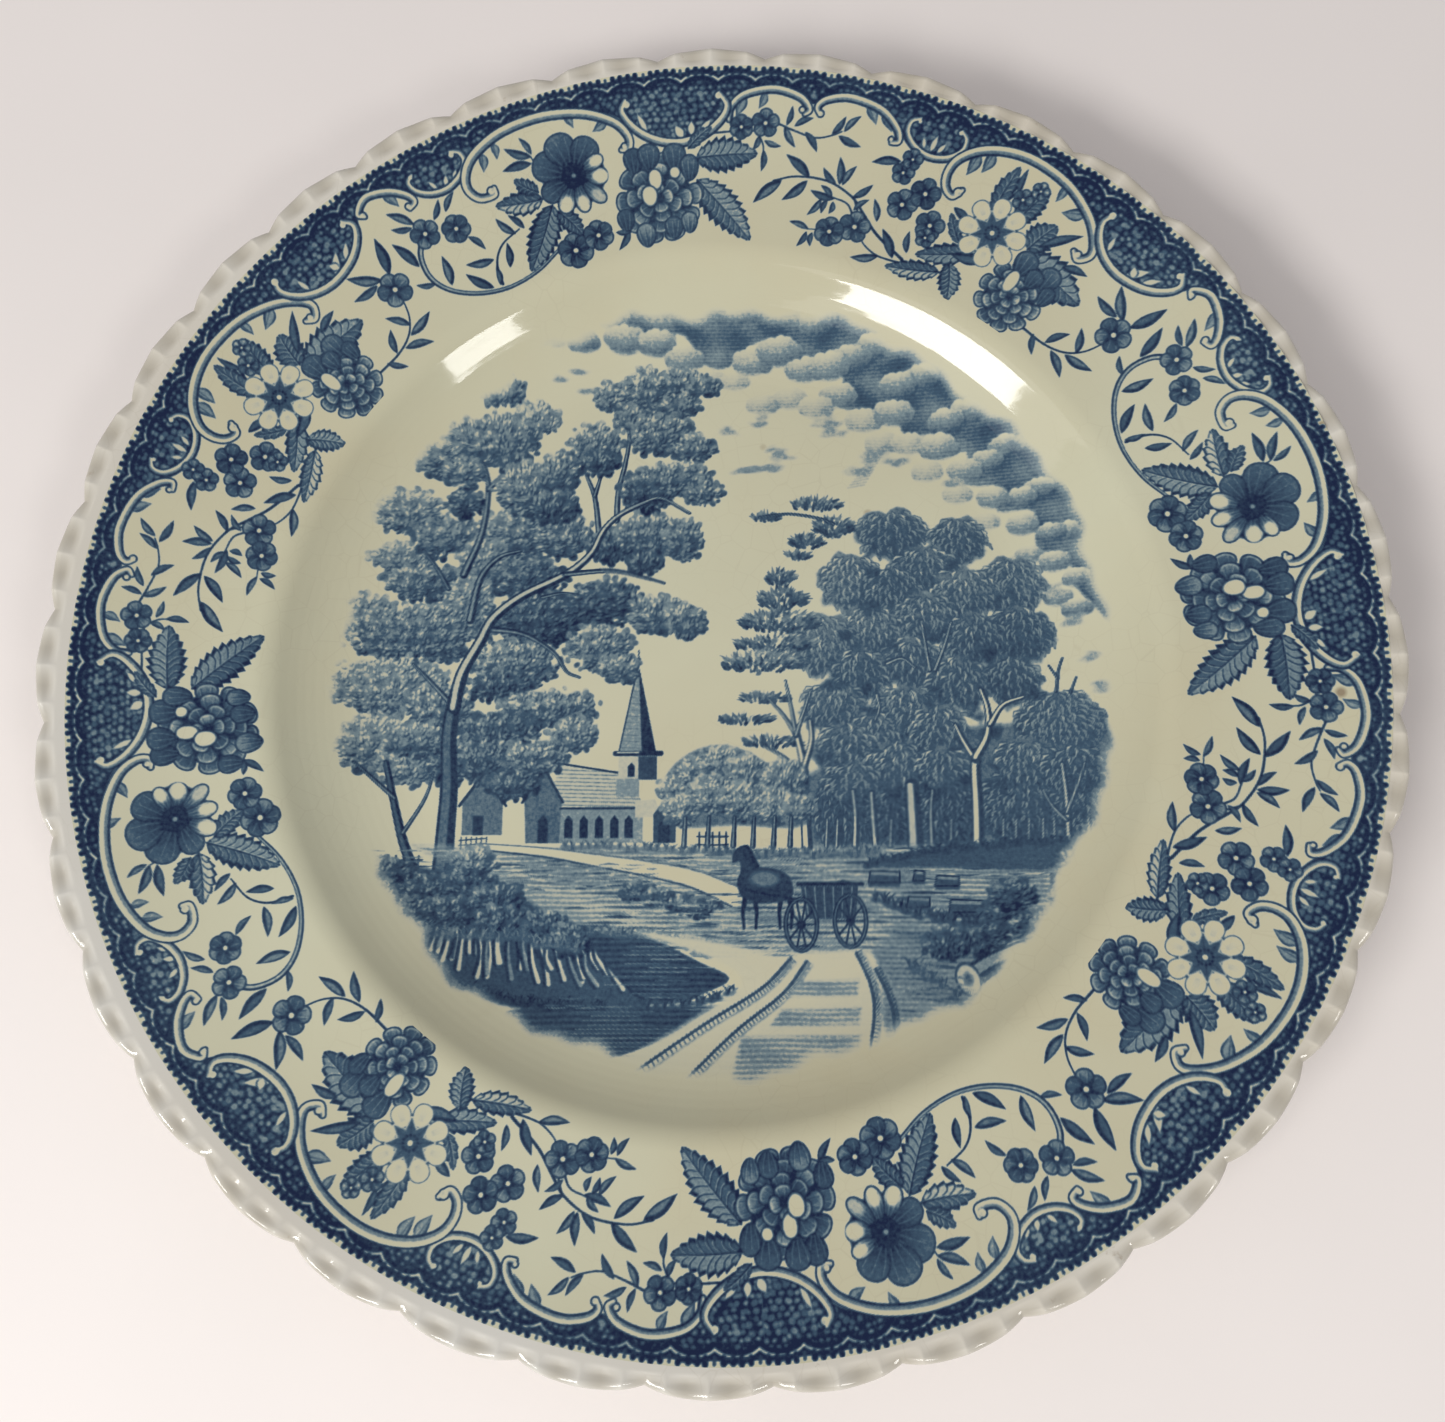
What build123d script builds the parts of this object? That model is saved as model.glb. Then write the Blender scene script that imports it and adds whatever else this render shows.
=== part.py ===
"""China dinner plate: a pressed earthenware body, cobalt transfer prints and a clear lead glaze.

The plate stands on its foot ring. The origin is the centre of the foot ring's resting plane,
+Z points up out of the well, and +Y is the top of the printed scene. All sizes are in millimetres.
"""
from build123d import *
import math
import os

# ---------------------------------------------------------------- driving dimensions
CREST_RADIUS = 127.5        # centre to the crest of a scallop: a ten inch dinner plate
SCALLOPS = 36               # lobes round the edge
SCALLOP_DEPTH = 1.7         # crest to valley
FLUTES_PER_SCALLOP = 3      # shallow grooves pressed across each lobe
FLUTE_DEPTH = 0.45          # depth of a flute at the crest of the edge
FLUTE_WIDTH = 5.2
FLUTE_START = 123.4         # radius where a flute runs out into the rim

FOOT_RADIUS = 79.4          # outer radius of the foot ring at the table
FOOT_WIDTH = 3.6            # width of the ring that touches the table
FOOT_RECESS = 3.3           # height of the underside inside the foot ring
FOOT_DRAFT = 0.8            # how much wider the foot ring is at its root, on each side
FOOT_ROOT_HEIGHT = 5.4      # where the outside of the foot ring meets the underside
BASE_THICKNESS = 4.3        # glazed thickness under the well

SHOULDER_RADIUS = 86.2      # where the sloping side meets the rim
SHOULDER_HEIGHT = 17.9
RIM_BEND_RADIUS = 106.0     # where the rim begins to lift more steeply
RIM_BEND_HEIGHT = 20.1
RIM_SLOPE = math.radians(16.3)
SIDE_SLOPE = math.radians(39.0)
WALL = 4.3                  # thickness of the side and the rim, measured upright
EDGE_EASE = 1.3             # rounding of the rim's outer corners

GLAZE = 0.35                # glaze thickness, measured upright
PRINT_DEPTH = 0.12          # how far the cobalt soaks into the biscuit
UNGLAZED_FOOT = 0.8         # height of the foot that is wiped free of glaze

FRINGE_RADIUS = 122.6       # outer limit of the border print
BORDER_INNER_RADIUS = 89.4  # inner limit of the border print
SCENE_RADIUS = 78.0         # outer limit of the scene print

# ---------------------------------------------------------------- worked out from the above
WELL_HEIGHT = FOOT_RECESS + BASE_THICKNESS
WELL_CORNER_RADIUS = SHOULDER_RADIUS - (SHOULDER_HEIGHT - WELL_HEIGHT) / math.tan(SIDE_SLOPE)
WELL_FILLET = 34.0
SHOULDER_FILLET = 9.0
RIM_FILLET = 140.0


def rim_height(radius):
    """Height of the glazed top of the outer rim at a radius."""
    return RIM_BEND_HEIGHT + (radius - RIM_BEND_RADIUS) * math.tan(RIM_SLOPE)


def face_points(drop):
    """Corners of the top surface from the axis out to the bend in the rim, lowered by drop."""
    return [
        (0, WELL_HEIGHT - drop),
        (WELL_CORNER_RADIUS, WELL_HEIGHT - drop),
        (SHOULDER_RADIUS, SHOULDER_HEIGHT - drop),
        (RIM_BEND_RADIUS, RIM_BEND_HEIGHT - drop),
    ]


def face_line(drop, reach):
    """The top surface out to a radius, as one smooth line of straight runs and tangent arcs."""
    corners = face_points(drop) + [(reach, rim_height(reach) - drop)]
    return FilletPolyline(*corners, radius=[WELL_FILLET, SHOULDER_FILLET, RIM_FILLET])


def back_points(lift, reach):
    """Corners of the underside from the foot ring's root out to a radius, raised by lift."""
    return [
        (FOOT_RADIUS + FOOT_DRAFT - lift, FOOT_ROOT_HEIGHT + lift),
        (SHOULDER_RADIUS + 1.6, SHOULDER_HEIGHT - WALL + lift),
        (RIM_BEND_RADIUS + 1.0, RIM_BEND_HEIGHT - WALL + lift),
        (reach, rim_height(reach) - WALL - 0.3 + lift),
    ]


def foot_side(lift, height):
    """Radius of the foot ring's outside at a height."""
    share = height / FOOT_ROOT_HEIGHT
    return FOOT_RADIUS - lift + FOOT_DRAFT * share


def foot_inside(lift, height):
    """Radius of the foot ring's inside at a height."""
    share = height / FOOT_RECESS
    return FOOT_RADIUS - FOOT_WIDTH + lift - FOOT_DRAFT * share


def band(first, second):
    """Close two open lines that run the same way into one face."""
    return make_face([first, Line(first @ 1, second @ 1), second, Line(second @ 0, first @ 0)])


def turned(section):
    """Turn a half section, drawn with its radius along X and its height along Y, about Z."""
    return revolve(Plane.XZ * section, Axis.Z)


def ring_window(inner, outer):
    """A tall rectangle that keeps the part of a section between two radii."""
    height = 80
    return Pos((inner + outer) / 2, 0) * Rectangle(outer - inner, height)


def print_section(inner, outer):
    """Half section of a print: the top layer of the biscuit between two radii."""
    layer = band(face_line(GLAZE, CREST_RADIUS), face_line(GLAZE + PRINT_DEPTH, CREST_RADIUS))
    return layer & ring_window(inner, outer)


def plate_section(skin):
    """Closed half section of the plate with a skin taken off it, out to a rounded edge."""
    reach = CREST_RADIUS + 0.1 - skin
    top = face_line(skin, reach)
    low = Polyline(*back_points(skin, reach))
    foot = Polyline(
        low @ 0,
        (foot_side(skin, 0), 0),
        (foot_inside(skin, 0), 0),
        (foot_inside(skin, FOOT_RECESS), FOOT_RECESS + skin),
        (0, FOOT_RECESS + skin),
        top @ 0,
    )
    outer = Line(top @ 1, low @ 1)
    section = make_face([top, outer, low, foot])
    corners = section.vertices().sort_by(Axis.X)[-2:]
    return fillet(corners, EDGE_EASE)


def scalloped_prism(skin):
    """An upright solid with the wavy outline of the edge, convex and hollow arcs by turns."""
    pitch = 2 * math.pi / SCALLOPS
    crest = CREST_RADIUS - skin
    valley = crest - SCALLOP_DEPTH
    middle = (crest + valley) / 2

    def at(radius, turn):
        angle = pitch * turn
        return (radius * math.cos(angle), radius * math.sin(angle))

    arcs = []
    for lobe in range(SCALLOPS):
        start, centre, end = lobe - 0.25, lobe, lobe + 0.25
        arcs.append(ThreePointArc(at(middle, start), at(crest, centre), at(middle, end)))
        arcs.append(ThreePointArc(at(middle, end), at(valley, lobe + 0.5), at(middle, lobe + 0.75)))
    return extrude(make_face(arcs), amount=40)


def flute_cutters(skin):
    """Shallow troughs laid out round the edge, each deepest at the outside."""
    count = SCALLOPS * FLUTES_PER_SCALLOP
    lead_in = 1.5
    fade = math.atan2(FLUTE_DEPTH, CREST_RADIUS - FLUTE_START)
    half = FLUTE_WIDTH / 2
    trough = make_face(
        [
            ThreePointArc((-half, 0), (0, -FLUTE_DEPTH), (half, 0)),
            Polyline((half, 0), (half, 1.2), (-half, 1.2), (-half, 0)),
        ]
    )
    slope = RIM_SLOPE - fade
    mouth = Plane(
        origin=(FLUTE_START, 0, rim_height(FLUTE_START) + FLUTE_DEPTH - skin),
        x_dir=(0, 1, 0),
        z_dir=(math.cos(slope), 0, math.sin(slope)),
    )
    length = CREST_RADIUS - FLUTE_START + 2.0 + lead_in
    cutter = extrude(mouth.offset(-lead_in) * trough, amount=length)
    return [Rot(0, 0, 360 * (index + 0.5) / count) * cutter for index in range(count)]


def build_parts():
    """Build every piece and return them by name."""
    prints = {
        "border_print": print_section(BORDER_INNER_RADIUS, FRINGE_RADIUS),
        "scene_print": print_section(0, SCENE_RADIUS),
    }
    biscuit_section = plate_section(GLAZE) - list(prints.values())
    edge_window = ring_window(FRINGE_RADIUS, CREST_RADIUS + 5)

    biscuit = (turned(biscuit_section) & scalloped_prism(GLAZE)) - flute_cutters(GLAZE)
    edge = (turned(plate_section(0) & edge_window) & scalloped_prism(0)) - flute_cutters(0)
    edge_glaze = edge - biscuit

    face = band(face_line(0, FRINGE_RADIUS), face_line(GLAZE, FRINGE_RADIUS))
    outside = Polyline((foot_side(0, UNGLAZED_FOOT), UNGLAZED_FOOT), *back_points(0, FRINGE_RADIUS))
    inside = Polyline(
        (foot_side(GLAZE, UNGLAZED_FOOT), UNGLAZED_FOOT), *back_points(GLAZE, FRINGE_RADIUS)
    )
    recess_outside = Polyline(
        (foot_inside(0, UNGLAZED_FOOT), UNGLAZED_FOOT),
        (foot_inside(0, FOOT_RECESS), FOOT_RECESS),
        (0, FOOT_RECESS),
    )
    recess_inside = Polyline(
        (foot_inside(GLAZE, UNGLAZED_FOOT), UNGLAZED_FOOT),
        (foot_inside(GLAZE, FOOT_RECESS), FOOT_RECESS + GLAZE),
        (0, FOOT_RECESS + GLAZE),
    )
    return {
        "earthenware_body": biscuit,
        "border_print": turned(prints["border_print"]),
        "scene_print": turned(prints["scene_print"]),
        "face_glaze": turned(face),
        "edge_glaze": edge_glaze,
        "back_glaze": turned(band(outside, inside)),
        "foot_recess_glaze": turned(band(recess_outside, recess_inside)),
    }


def main():
    """Write one STEP file for each piece."""
    os.makedirs("parts", exist_ok=True)
    for name, piece in build_parts().items():
        piece.label = name
        export_step(piece, f"parts/{name}.step")


main()
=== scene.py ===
"""A blue printed earthenware dinner plate: its glazed surfaces, its prints, the table and the light.

The prints are drawn here as engraved motifs on fine grids of ink density. Each grid is the grid of
the glazed mesh that carries it, so the ink reaches the material as one value at each vertex.
Lengths inside the drawing code are millimetres from the plate's axis. Meshes are in metres.
"""

import logging
import math
from dataclasses import dataclass
from enum import Enum
from typing import Callable, Iterable, Iterator, Sequence

import bpy
import numpy as np
from mathutils import Matrix, Vector


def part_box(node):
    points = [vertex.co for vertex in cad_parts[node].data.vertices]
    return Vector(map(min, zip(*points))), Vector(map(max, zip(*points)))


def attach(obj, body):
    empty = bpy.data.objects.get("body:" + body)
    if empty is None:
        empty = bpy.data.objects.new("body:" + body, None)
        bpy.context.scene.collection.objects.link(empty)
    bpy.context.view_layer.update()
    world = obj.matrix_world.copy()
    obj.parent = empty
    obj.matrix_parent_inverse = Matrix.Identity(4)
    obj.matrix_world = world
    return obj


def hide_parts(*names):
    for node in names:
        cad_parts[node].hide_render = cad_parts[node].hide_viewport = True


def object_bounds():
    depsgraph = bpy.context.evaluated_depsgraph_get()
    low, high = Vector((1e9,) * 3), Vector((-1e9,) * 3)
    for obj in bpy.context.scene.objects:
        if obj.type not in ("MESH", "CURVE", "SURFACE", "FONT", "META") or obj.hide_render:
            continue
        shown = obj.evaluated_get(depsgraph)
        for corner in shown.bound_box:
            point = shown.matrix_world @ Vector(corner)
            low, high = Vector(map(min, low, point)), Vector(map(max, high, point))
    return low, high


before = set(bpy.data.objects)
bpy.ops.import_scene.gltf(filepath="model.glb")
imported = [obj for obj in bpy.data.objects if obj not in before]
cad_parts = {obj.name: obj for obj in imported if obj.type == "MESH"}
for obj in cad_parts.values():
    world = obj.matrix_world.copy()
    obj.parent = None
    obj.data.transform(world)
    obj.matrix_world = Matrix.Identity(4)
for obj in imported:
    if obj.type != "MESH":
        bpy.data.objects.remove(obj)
frame_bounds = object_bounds()

Array = np.ndarray
Point = tuple[float, float]
Point3 = tuple[float, float, float]
Socket = bpy.types.NodeSocket
Shade = float | Callable[[Array, Array], Array]

log = logging.getLogger("plate")
logging.basicConfig(level=logging.INFO, format="%(levelname)s %(message)s")


# ---- plane geometry
def polar(angle: float, radius: float) -> Point:
    """Return the point at a clockwise angle in degrees from the top, and a radius."""
    turn = math.radians(angle)
    return radius * math.sin(turn), radius * math.cos(turn)


def polars(pairs: Iterable[Point]) -> Array:
    """Turn pairs of angle and radius into an array of points."""
    return np.array([polar(angle, radius) for angle, radius in pairs])


def smooth(points: Sequence[Point] | Array, steps: int = 8, closed: bool = False) -> Array:
    """Draw a Catmull-Rom curve through points.

    Args:
        points: The points that the curve passes through.
        steps: How many samples each span gets.
        closed: Whether the curve joins its own start.

    Returns:
        The samples, one row each.
    """
    knots = np.asarray(points, float)
    if closed:
        knots = np.vstack([knots[-1], knots, knots[0], knots[1]])
    else:
        knots = np.vstack([2 * knots[0] - knots[1], knots, 2 * knots[-1] - knots[-2]])
    share = np.linspace(0, 1, steps, endpoint=False)[:, None]
    spans = []
    for before, start, end, after in zip(knots, knots[1:], knots[2:], knots[3:]):
        spans.append(
            0.5
            * (
                2 * start
                + (end - before) * share
                + (2 * before - 5 * start + 4 * end - after) * share**2
                + (3 * start - before - 3 * end + after) * share**3
            )
        )
    curve = np.vstack(spans)
    return curve if closed else np.vstack([curve, knots[-2]])


def rounded(points: Sequence[Point]) -> Array:
    """Return the closed smooth outline through points."""
    return smooth(points, 4, closed=True)


def spoke(centre: Point, reach: float, turn: float) -> Point:
    """Return the point at a distance from a centre, at an angle in radians."""
    return centre[0] + reach * math.cos(turn), centre[1] + reach * math.sin(turn)


def across(start: Point, end: Point) -> Array:
    """Return the unit vector to the left of the line between two points."""
    side = np.array([start[1] - end[1], end[0] - start[0]])
    return side / max(np.hypot(*side), 1e-9)


def normals_of(path: Array) -> Array:
    """Return the unit vectors to the left of a path, one for each sample."""
    along = np.gradient(path, axis=0)
    along /= np.maximum(np.hypot(along[:, 0], along[:, 1]), 1e-9)[:, None]
    return np.stack([-along[:, 1], along[:, 0]], axis=1)


def shifted(path: Array, offset: float | Array) -> Array:
    """Move a path sideways, to its left where the offset is positive."""
    return path + normals_of(path) * np.reshape(offset, (-1, 1))


def ramp(low: float, high: float, value: Array) -> Array:
    """Rise smoothly from 0 at low to 1 at high."""
    share = np.clip((value - low) / (high - low), 0, 1)
    return share * share * (3 - 2 * share)


@dataclass(frozen=True)
class Placing:
    """Where a motif is drawn: its centre and the direction of its own x axis.

    Args:
        x: Centre, in millimetres.
        y: Centre, in millimetres.
        turn: Angle of the motif's own x axis, in radians.
    """

    x: float
    y: float
    turn: float

    def out(self, points: Array) -> Array:
        """Carry points from the motif's own axes to the sheet's."""
        cos, sin = math.cos(self.turn), math.sin(self.turn)
        along, side = points.T
        return np.stack([self.x + along * cos - side * sin, self.y + along * sin + side * cos], axis=1)


# ---- sheets of ink
class Sheet:
    """A grid of ink densities from 0, bare, to 1, solid cobalt, that motifs are drawn on."""

    def __init__(self, x: Array, y: Array) -> None:
        """Lay out a bare sheet.

        Args:
            x: Position across of every sample.
            y: Position up of every sample.
        """
        self.x = x
        self.y = y
        self.ink = np.zeros_like(x)

    def patches(self, points: Array, margin: float) -> Iterator[tuple[tuple, Array, Array]]:
        """Yield each part of the sheet that the points reach, with its coordinates."""
        raise NotImplementedError

    def blend(self, where: tuple, cover: Array, tone: Shade, x: Array, y: Array) -> None:
        """Lay a tone, or one that changes with position, over part of the sheet."""
        value = tone(x, y) if callable(tone) else tone
        self.ink[where] += (value - self.ink[where]) * cover

    def fill(self, outline: Array | Sequence[Point], tone: Shade, cover: float = 1.0,
             soft: float = 0.16) -> None:
        """Fill a closed outline.

        Args:
            outline: The corners in order.
            tone: An ink density, or a function of position that gives it.
            cover: How far the tone hides what is under it.
            soft: Width over which the edge fades.
        """
        outline = np.asarray(outline, float)
        ends = np.roll(outline, -1, axis=0)
        for where, x, y in self.patches(outline, soft):
            inside = np.zeros(x.shape, bool)
            nearest = np.full(x.shape, 1e9)
            for (x0, y0), (x1, y1) in zip(outline, ends):
                run, rise = x1 - x0, y1 - y0
                square = run * run + rise * rise
                if square < 1e-12:
                    continue
                share = np.clip(((x - x0) * run + (y - y0) * rise) / square, 0, 1)
                gap = (x - x0 - share * run) ** 2 + (y - y0 - share * rise) ** 2
                nearest = np.minimum(nearest, gap)
                if y0 != y1:
                    crosses = ((y0 > y) != (y1 > y)) & (x < x0 + (y - y0) * run / rise)
                    inside ^= crosses
            distance = np.sqrt(nearest) * np.where(inside, 1, -1)
            edge = np.clip(0.5 + distance / soft, 0, 1) * cover
            self.blend(where, edge, tone, x, y)

    def stroke(self, path: Array | Sequence[Point], width: float | Sequence[float] | Array, tone: Shade,
               cover: float = 1.0, soft: float = 0.14) -> None:
        """Draw a line along a path.

        Args:
            path: The samples along the line.
            width: Its width, one value or one for each sample.
            tone: An ink density, or a function of position that gives it.
            cover: How far the tone hides what is under it.
            soft: Width over which the edge fades.
        """
        path = np.asarray(path, float)
        half = np.broadcast_to(np.asarray(width, float) / 2, (len(path),))
        for where, x, y in self.patches(path, float(half.max()) + soft):
            best = np.full(x.shape, -1e9)
            for index in range(len(path) - 1):
                (x0, y0), (x1, y1) = path[index], path[index + 1]
                run, rise = x1 - x0, y1 - y0
                square = max(run * run + rise * rise, 1e-12)
                share = np.clip(((x - x0) * run + (y - y0) * rise) / square, 0, 1)
                gap = np.hypot(x - x0 - share * run, y - y0 - share * rise)
                reach = half[index] + (half[index + 1] - half[index]) * share
                best = np.maximum(best, reach - gap)
            edge = np.clip(0.5 + best / soft, 0, 1) * cover
            self.blend(where, edge, tone, x, y)

    def dot(self, x: float, y: float, radius: float, tone: Shade, **options: float) -> None:
        """Draw a round or oval dot; options are stretch, turn, cover and soft."""
        stretch = options.get("stretch", 1.0)
        turn = options.get("turn", 0.0)
        cover = options.get("cover", 1.0)
        soft = options.get("soft", 0.14)
        cos, sin = math.cos(turn), math.sin(turn)
        reach = radius * max(stretch, 1.0)
        ring = np.arange(0, 2 * math.pi, math.pi / 4)
        box = np.stack([x + reach * np.cos(ring), y + reach * np.sin(ring)], axis=1)
        for where, aside, up in self.patches(box, reach * 0.1 + soft):
            along = ((aside - x) * cos + (up - y) * sin) / stretch
            side = (up - y) * cos - (aside - x) * sin
            edge = np.clip(0.5 + (radius - np.hypot(along, side)) / soft, 0, 1) * cover
            self.blend(where, edge, tone, aside, up)


class FlatSheet(Sheet):
    """A square sheet for the scene in the well."""

    def __init__(self, half_width: float, pitch: float) -> None:
        """Lay out a square sheet about the plate's axis."""
        line = np.arange(-half_width, half_width + pitch, pitch)
        x, y = np.meshgrid(line, line)
        super().__init__(x, y)
        self.line = line
        self.pitch = pitch

    def patches(self, points: Array, margin: float) -> Iterator[tuple[tuple, Array, Array]]:
        """Yield the one part of the sheet that the points reach."""
        low = np.floor((points.min(axis=0) - margin - self.line[0]) / self.pitch).astype(int)
        high = np.ceil((points.max(axis=0) + margin - self.line[0]) / self.pitch).astype(int) + 1
        low, high = np.clip(low, 0, len(self.line)), np.clip(high, 0, len(self.line))
        where = (slice(low[1], high[1]), slice(low[0], high[0]))
        if high[0] > low[0] and high[1] > low[1]:
            yield where, self.x[where], self.y[where]

    def sample(self, x: Array, y: Array) -> Array:
        """Read the ink at any points, blurred over the pitch of the samples."""
        column = np.clip((x - self.line[0]) / self.pitch, 0, len(self.line) - 2)
        row = np.clip((y - self.line[0]) / self.pitch, 0, len(self.line) - 2)
        left, below = column.astype(int), row.astype(int)
        aside, up = column - left, row - below
        ink = self.ink
        low = ink[below, left] * (1 - aside) + ink[below, left + 1] * aside
        high = ink[below + 1, left] * (1 - aside) + ink[below + 1, left + 1] * aside
        return low * (1 - up) + high * up


class BorderSheet(Sheet):
    """A quarter of the rim, ruled in angle and radius, whose drawing repeats round the plate."""

    def __init__(self, inner: float, outer: float, columns: int, rows: int, repeats: int) -> None:
        """Rule a sheet that covers one repeat of the border.

        Args:
            inner: Radius of the first row.
            outer: Radius of the last row.
            columns: Samples along one repeat; the next repeat starts at the sample after them.
            rows: Samples across the border.
            repeats: How many times the border repeats round the plate.
        """
        self.span = 360.0 / repeats
        self.angles = np.arange(columns + 1) * self.span / columns
        self.radii = np.linspace(inner, outer, rows)
        angle, self.radius = np.meshgrid(np.radians(self.angles), self.radii)
        self.angle = angle
        super().__init__(self.radius * np.sin(angle), self.radius * np.cos(angle))

    def patches(self, points: Array, margin: float) -> Iterator[tuple[tuple, Array, Array]]:
        """Yield each part of the sheet that any repeat of the points reaches."""
        radii = np.hypot(points[:, 0], points[:, 1])
        angles = np.degrees(np.arctan2(points[:, 0], points[:, 1]))
        spare = math.degrees(margin / max(radii.min(), 1.0)) + 0.05
        rows = slice(*np.searchsorted(self.radii, (radii.min() - margin, radii.max() + margin)))
        if rows.stop <= rows.start:
            return
        for shift in (-self.span, 0.0, self.span):
            ends = (angles.min() + shift - spare, angles.max() + shift + spare)
            columns = slice(*np.searchsorted(self.angles, ends))
            if columns.stop > columns.start:
                where = (rows, columns)
                turned = self.angle[where] - math.radians(shift)
                radius = self.radius[where]
                yield where, radius * np.sin(turned), radius * np.cos(turned)


# ---- engraved motifs
class Tone:
    """How dark the engraver cut each kind of mark, from 0, bare, to 1, solid."""

    BARE = 0.0
    HAZE = 0.16
    PALE = 0.34
    MID = 0.58
    DEEP = 0.78
    INK = 0.93


def lens(base: Point, tip: Point, width: float, bend: float = 0.0, belly: float = 0.85) -> Array:
    """Outline a pointed leaf.

    Args:
        base: Where the leaf meets its stalk.
        tip: Its point.
        width: Its widest.
        bend: How far its middle swings to the left of the line from base to tip.
        belly: Below 1 the widest part moves towards the base.

    Returns:
        The corners of the outline, up the left side and down the right.
    """
    start, end = np.array(base), np.array(tip)
    share = np.linspace(0, 1, 13)[:, None]
    side = across(base, tip)
    middle = start + (end - start) * share + side * bend * np.sin(math.pi * share)
    half = side * (width / 2) * np.sin(math.pi * share**belly)
    return np.vstack([middle + half, (middle - half)[-2:0:-1]])


@dataclass(frozen=True)
class Leaf:
    """A small plain leaf, dark along one side and lighter along the other.

    Args:
        base: Where it meets its stalk.
        tip: Its point.
        width: Its widest, in millimetres, or 0 to follow its length.
        bend: How far it curves.
        lift: How much lighter its lighter half is.
    """

    base: Point
    tip: Point
    width: float = 0.0
    bend: float = 0.0
    lift: float = 0.4

    def draw(self, sheet: Sheet) -> None:
        """Cut the leaf into a sheet."""
        length = math.dist(self.base, self.tip)
        width = self.width or max(1.2, 0.3 * length)
        sheet.fill(lens(self.base, self.tip, width, self.bend), Tone.INK)
        start, end = np.array(self.base), np.array(self.tip)
        side = across(self.base, self.tip)
        along = end - start
        inner = (start + along * 0.12 + side * width * 0.1, start + along * 0.86 + side * width * 0.1)
        sheet.fill(lens(inner[0], inner[1], width * 0.5, self.bend), Tone.INK - self.lift, soft=0.35)


@dataclass(frozen=True)
class SerratedLeaf:
    """A large toothed leaf with oblique veins.

    Args:
        base: Where it meets its stalk.
        tip: Its point.
        width: Its widest.
        teeth: How many teeth each side has.
        bend: How far it curves.
        light: The tone of its lighter half.
    """

    base: Point
    tip: Point
    width: float
    teeth: int = 6
    bend: float = 0.0
    light: float = Tone.PALE

    def draw(self, sheet: Sheet) -> None:
        """Cut the leaf into a sheet."""
        start, end = np.array(self.base), np.array(self.tip)
        length = math.dist(self.base, self.tip)
        side = across(self.base, self.tip)
        share = np.linspace(0, 1, self.teeth * 6 + 1)
        middle = start + (end - start) * share[:, None]
        middle = middle + side * (self.bend * np.sin(math.pi * share))[:, None]
        body = np.sin(math.pi * share**0.8) ** 0.75 * self.width / 2
        tooth = (share * self.teeth) % 1.0
        half = body * (0.84 + 0.3 * tooth)
        left, right = middle + side * half[:, None], middle - side * half[:, None]
        sheet.fill(np.vstack([left, right[-2:0:-1]]), Tone.INK)
        shrink = middle + side * (half * 0.78)[:, None]
        sheet.fill(np.vstack([shrink[2:-3], middle[-4:2:-1]]), self.light + 0.02, soft=0.3)
        other = middle - side * (half * 0.7)[:, None]
        sheet.fill(np.vstack([other[2:-3], middle[-4:2:-1]]), Tone.MID + 0.02, soft=0.3)
        for index in range(1, self.teeth + 1):
            root = int(len(share) * (index - 0.6) / (self.teeth + 0.8))
            reach = min(root + 5, len(share) - 2)
            for edge, weight in ((left, 0.24), (right, 0.2)):
                line = np.array([middle[root], (middle[reach] + edge[reach]) / 2, edge[reach]])
                sheet.stroke(smooth(line, 4), weight, Tone.INK, 0.85)
                lit = line + (end - start) / length * 0.3
                sheet.stroke(smooth(lit * 0.92 + line * 0.08, 4)[:-2], 0.2, Tone.HAZE, 0.6)
        sheet.stroke(middle[:-1], np.linspace(0.34, 0.12, len(middle) - 1), Tone.INK)
        sheet.stroke(shifted(middle[1:-4], 0.22), 0.16, Tone.HAZE, 0.7)


@dataclass(frozen=True)
class Petal:
    """One rounded petal: a dark rim, a body that lightens outwards and a few fine folds.

    Args:
        centre: Its middle.
        length: How long it is, from the flower's heart outwards.
        width: How wide it is.
        turn: Direction from the flower's heart, in degrees from the right, anticlockwise.
        tone: The tone of its body at its outer end.
        folds: How many fold lines run along it.
    """

    centre: Point
    length: float
    width: float
    turn: float
    tone: float = Tone.PALE
    folds: int = 3

    def place(self) -> Placing:
        """Return where the petal lies, its own x axis pointing outwards."""
        return Placing(*self.centre, math.radians(self.turn))

    def outline(self, grow: float) -> Array:
        """Return the petal's outline, grown by a distance."""
        turns = np.linspace(0, 2 * math.pi, 26, endpoint=False)
        half, side = self.length / 2 + grow, self.width / 2 + grow
        along = half * np.cos(turns)
        broad = side * np.sin(turns) * (1 + 0.16 * np.cos(turns))
        return self.place().out(np.stack([along, broad], axis=1))

    def draw(self, sheet: Sheet) -> None:
        """Cut the petal into a sheet."""
        cos, sin = math.cos(math.radians(self.turn)), math.sin(math.radians(self.turn))

        def body(x: Array, y: Array) -> Array:
            """Give the tone of the petal's body at a point."""
            along = ((x - self.centre[0]) * cos + (y - self.centre[1]) * sin) / self.length + 0.5
            rise = np.clip(along, 0, 1)
            return self.tone + (0.95 - self.tone) * (1 - rise) ** 1.5

        sheet.fill(self.outline(0.14), Tone.INK)
        sheet.fill(self.outline(-0.14), body, soft=0.35)
        for index in range(self.folds):
            swing = (index + 0.5) / self.folds - 0.5
            line = np.array([[-0.45, swing * 0.4], [-0.1, swing * 0.8], [0.26, swing]])
            line = line * [self.length, self.width]
            fold = smooth(self.place().out(line), 4)
            sheet.stroke(fold, 0.18, Tone.DEEP, 0.6)
            sheet.stroke(shifted(fold, 0.24), 0.18, Tone.HAZE, 0.45)


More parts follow.
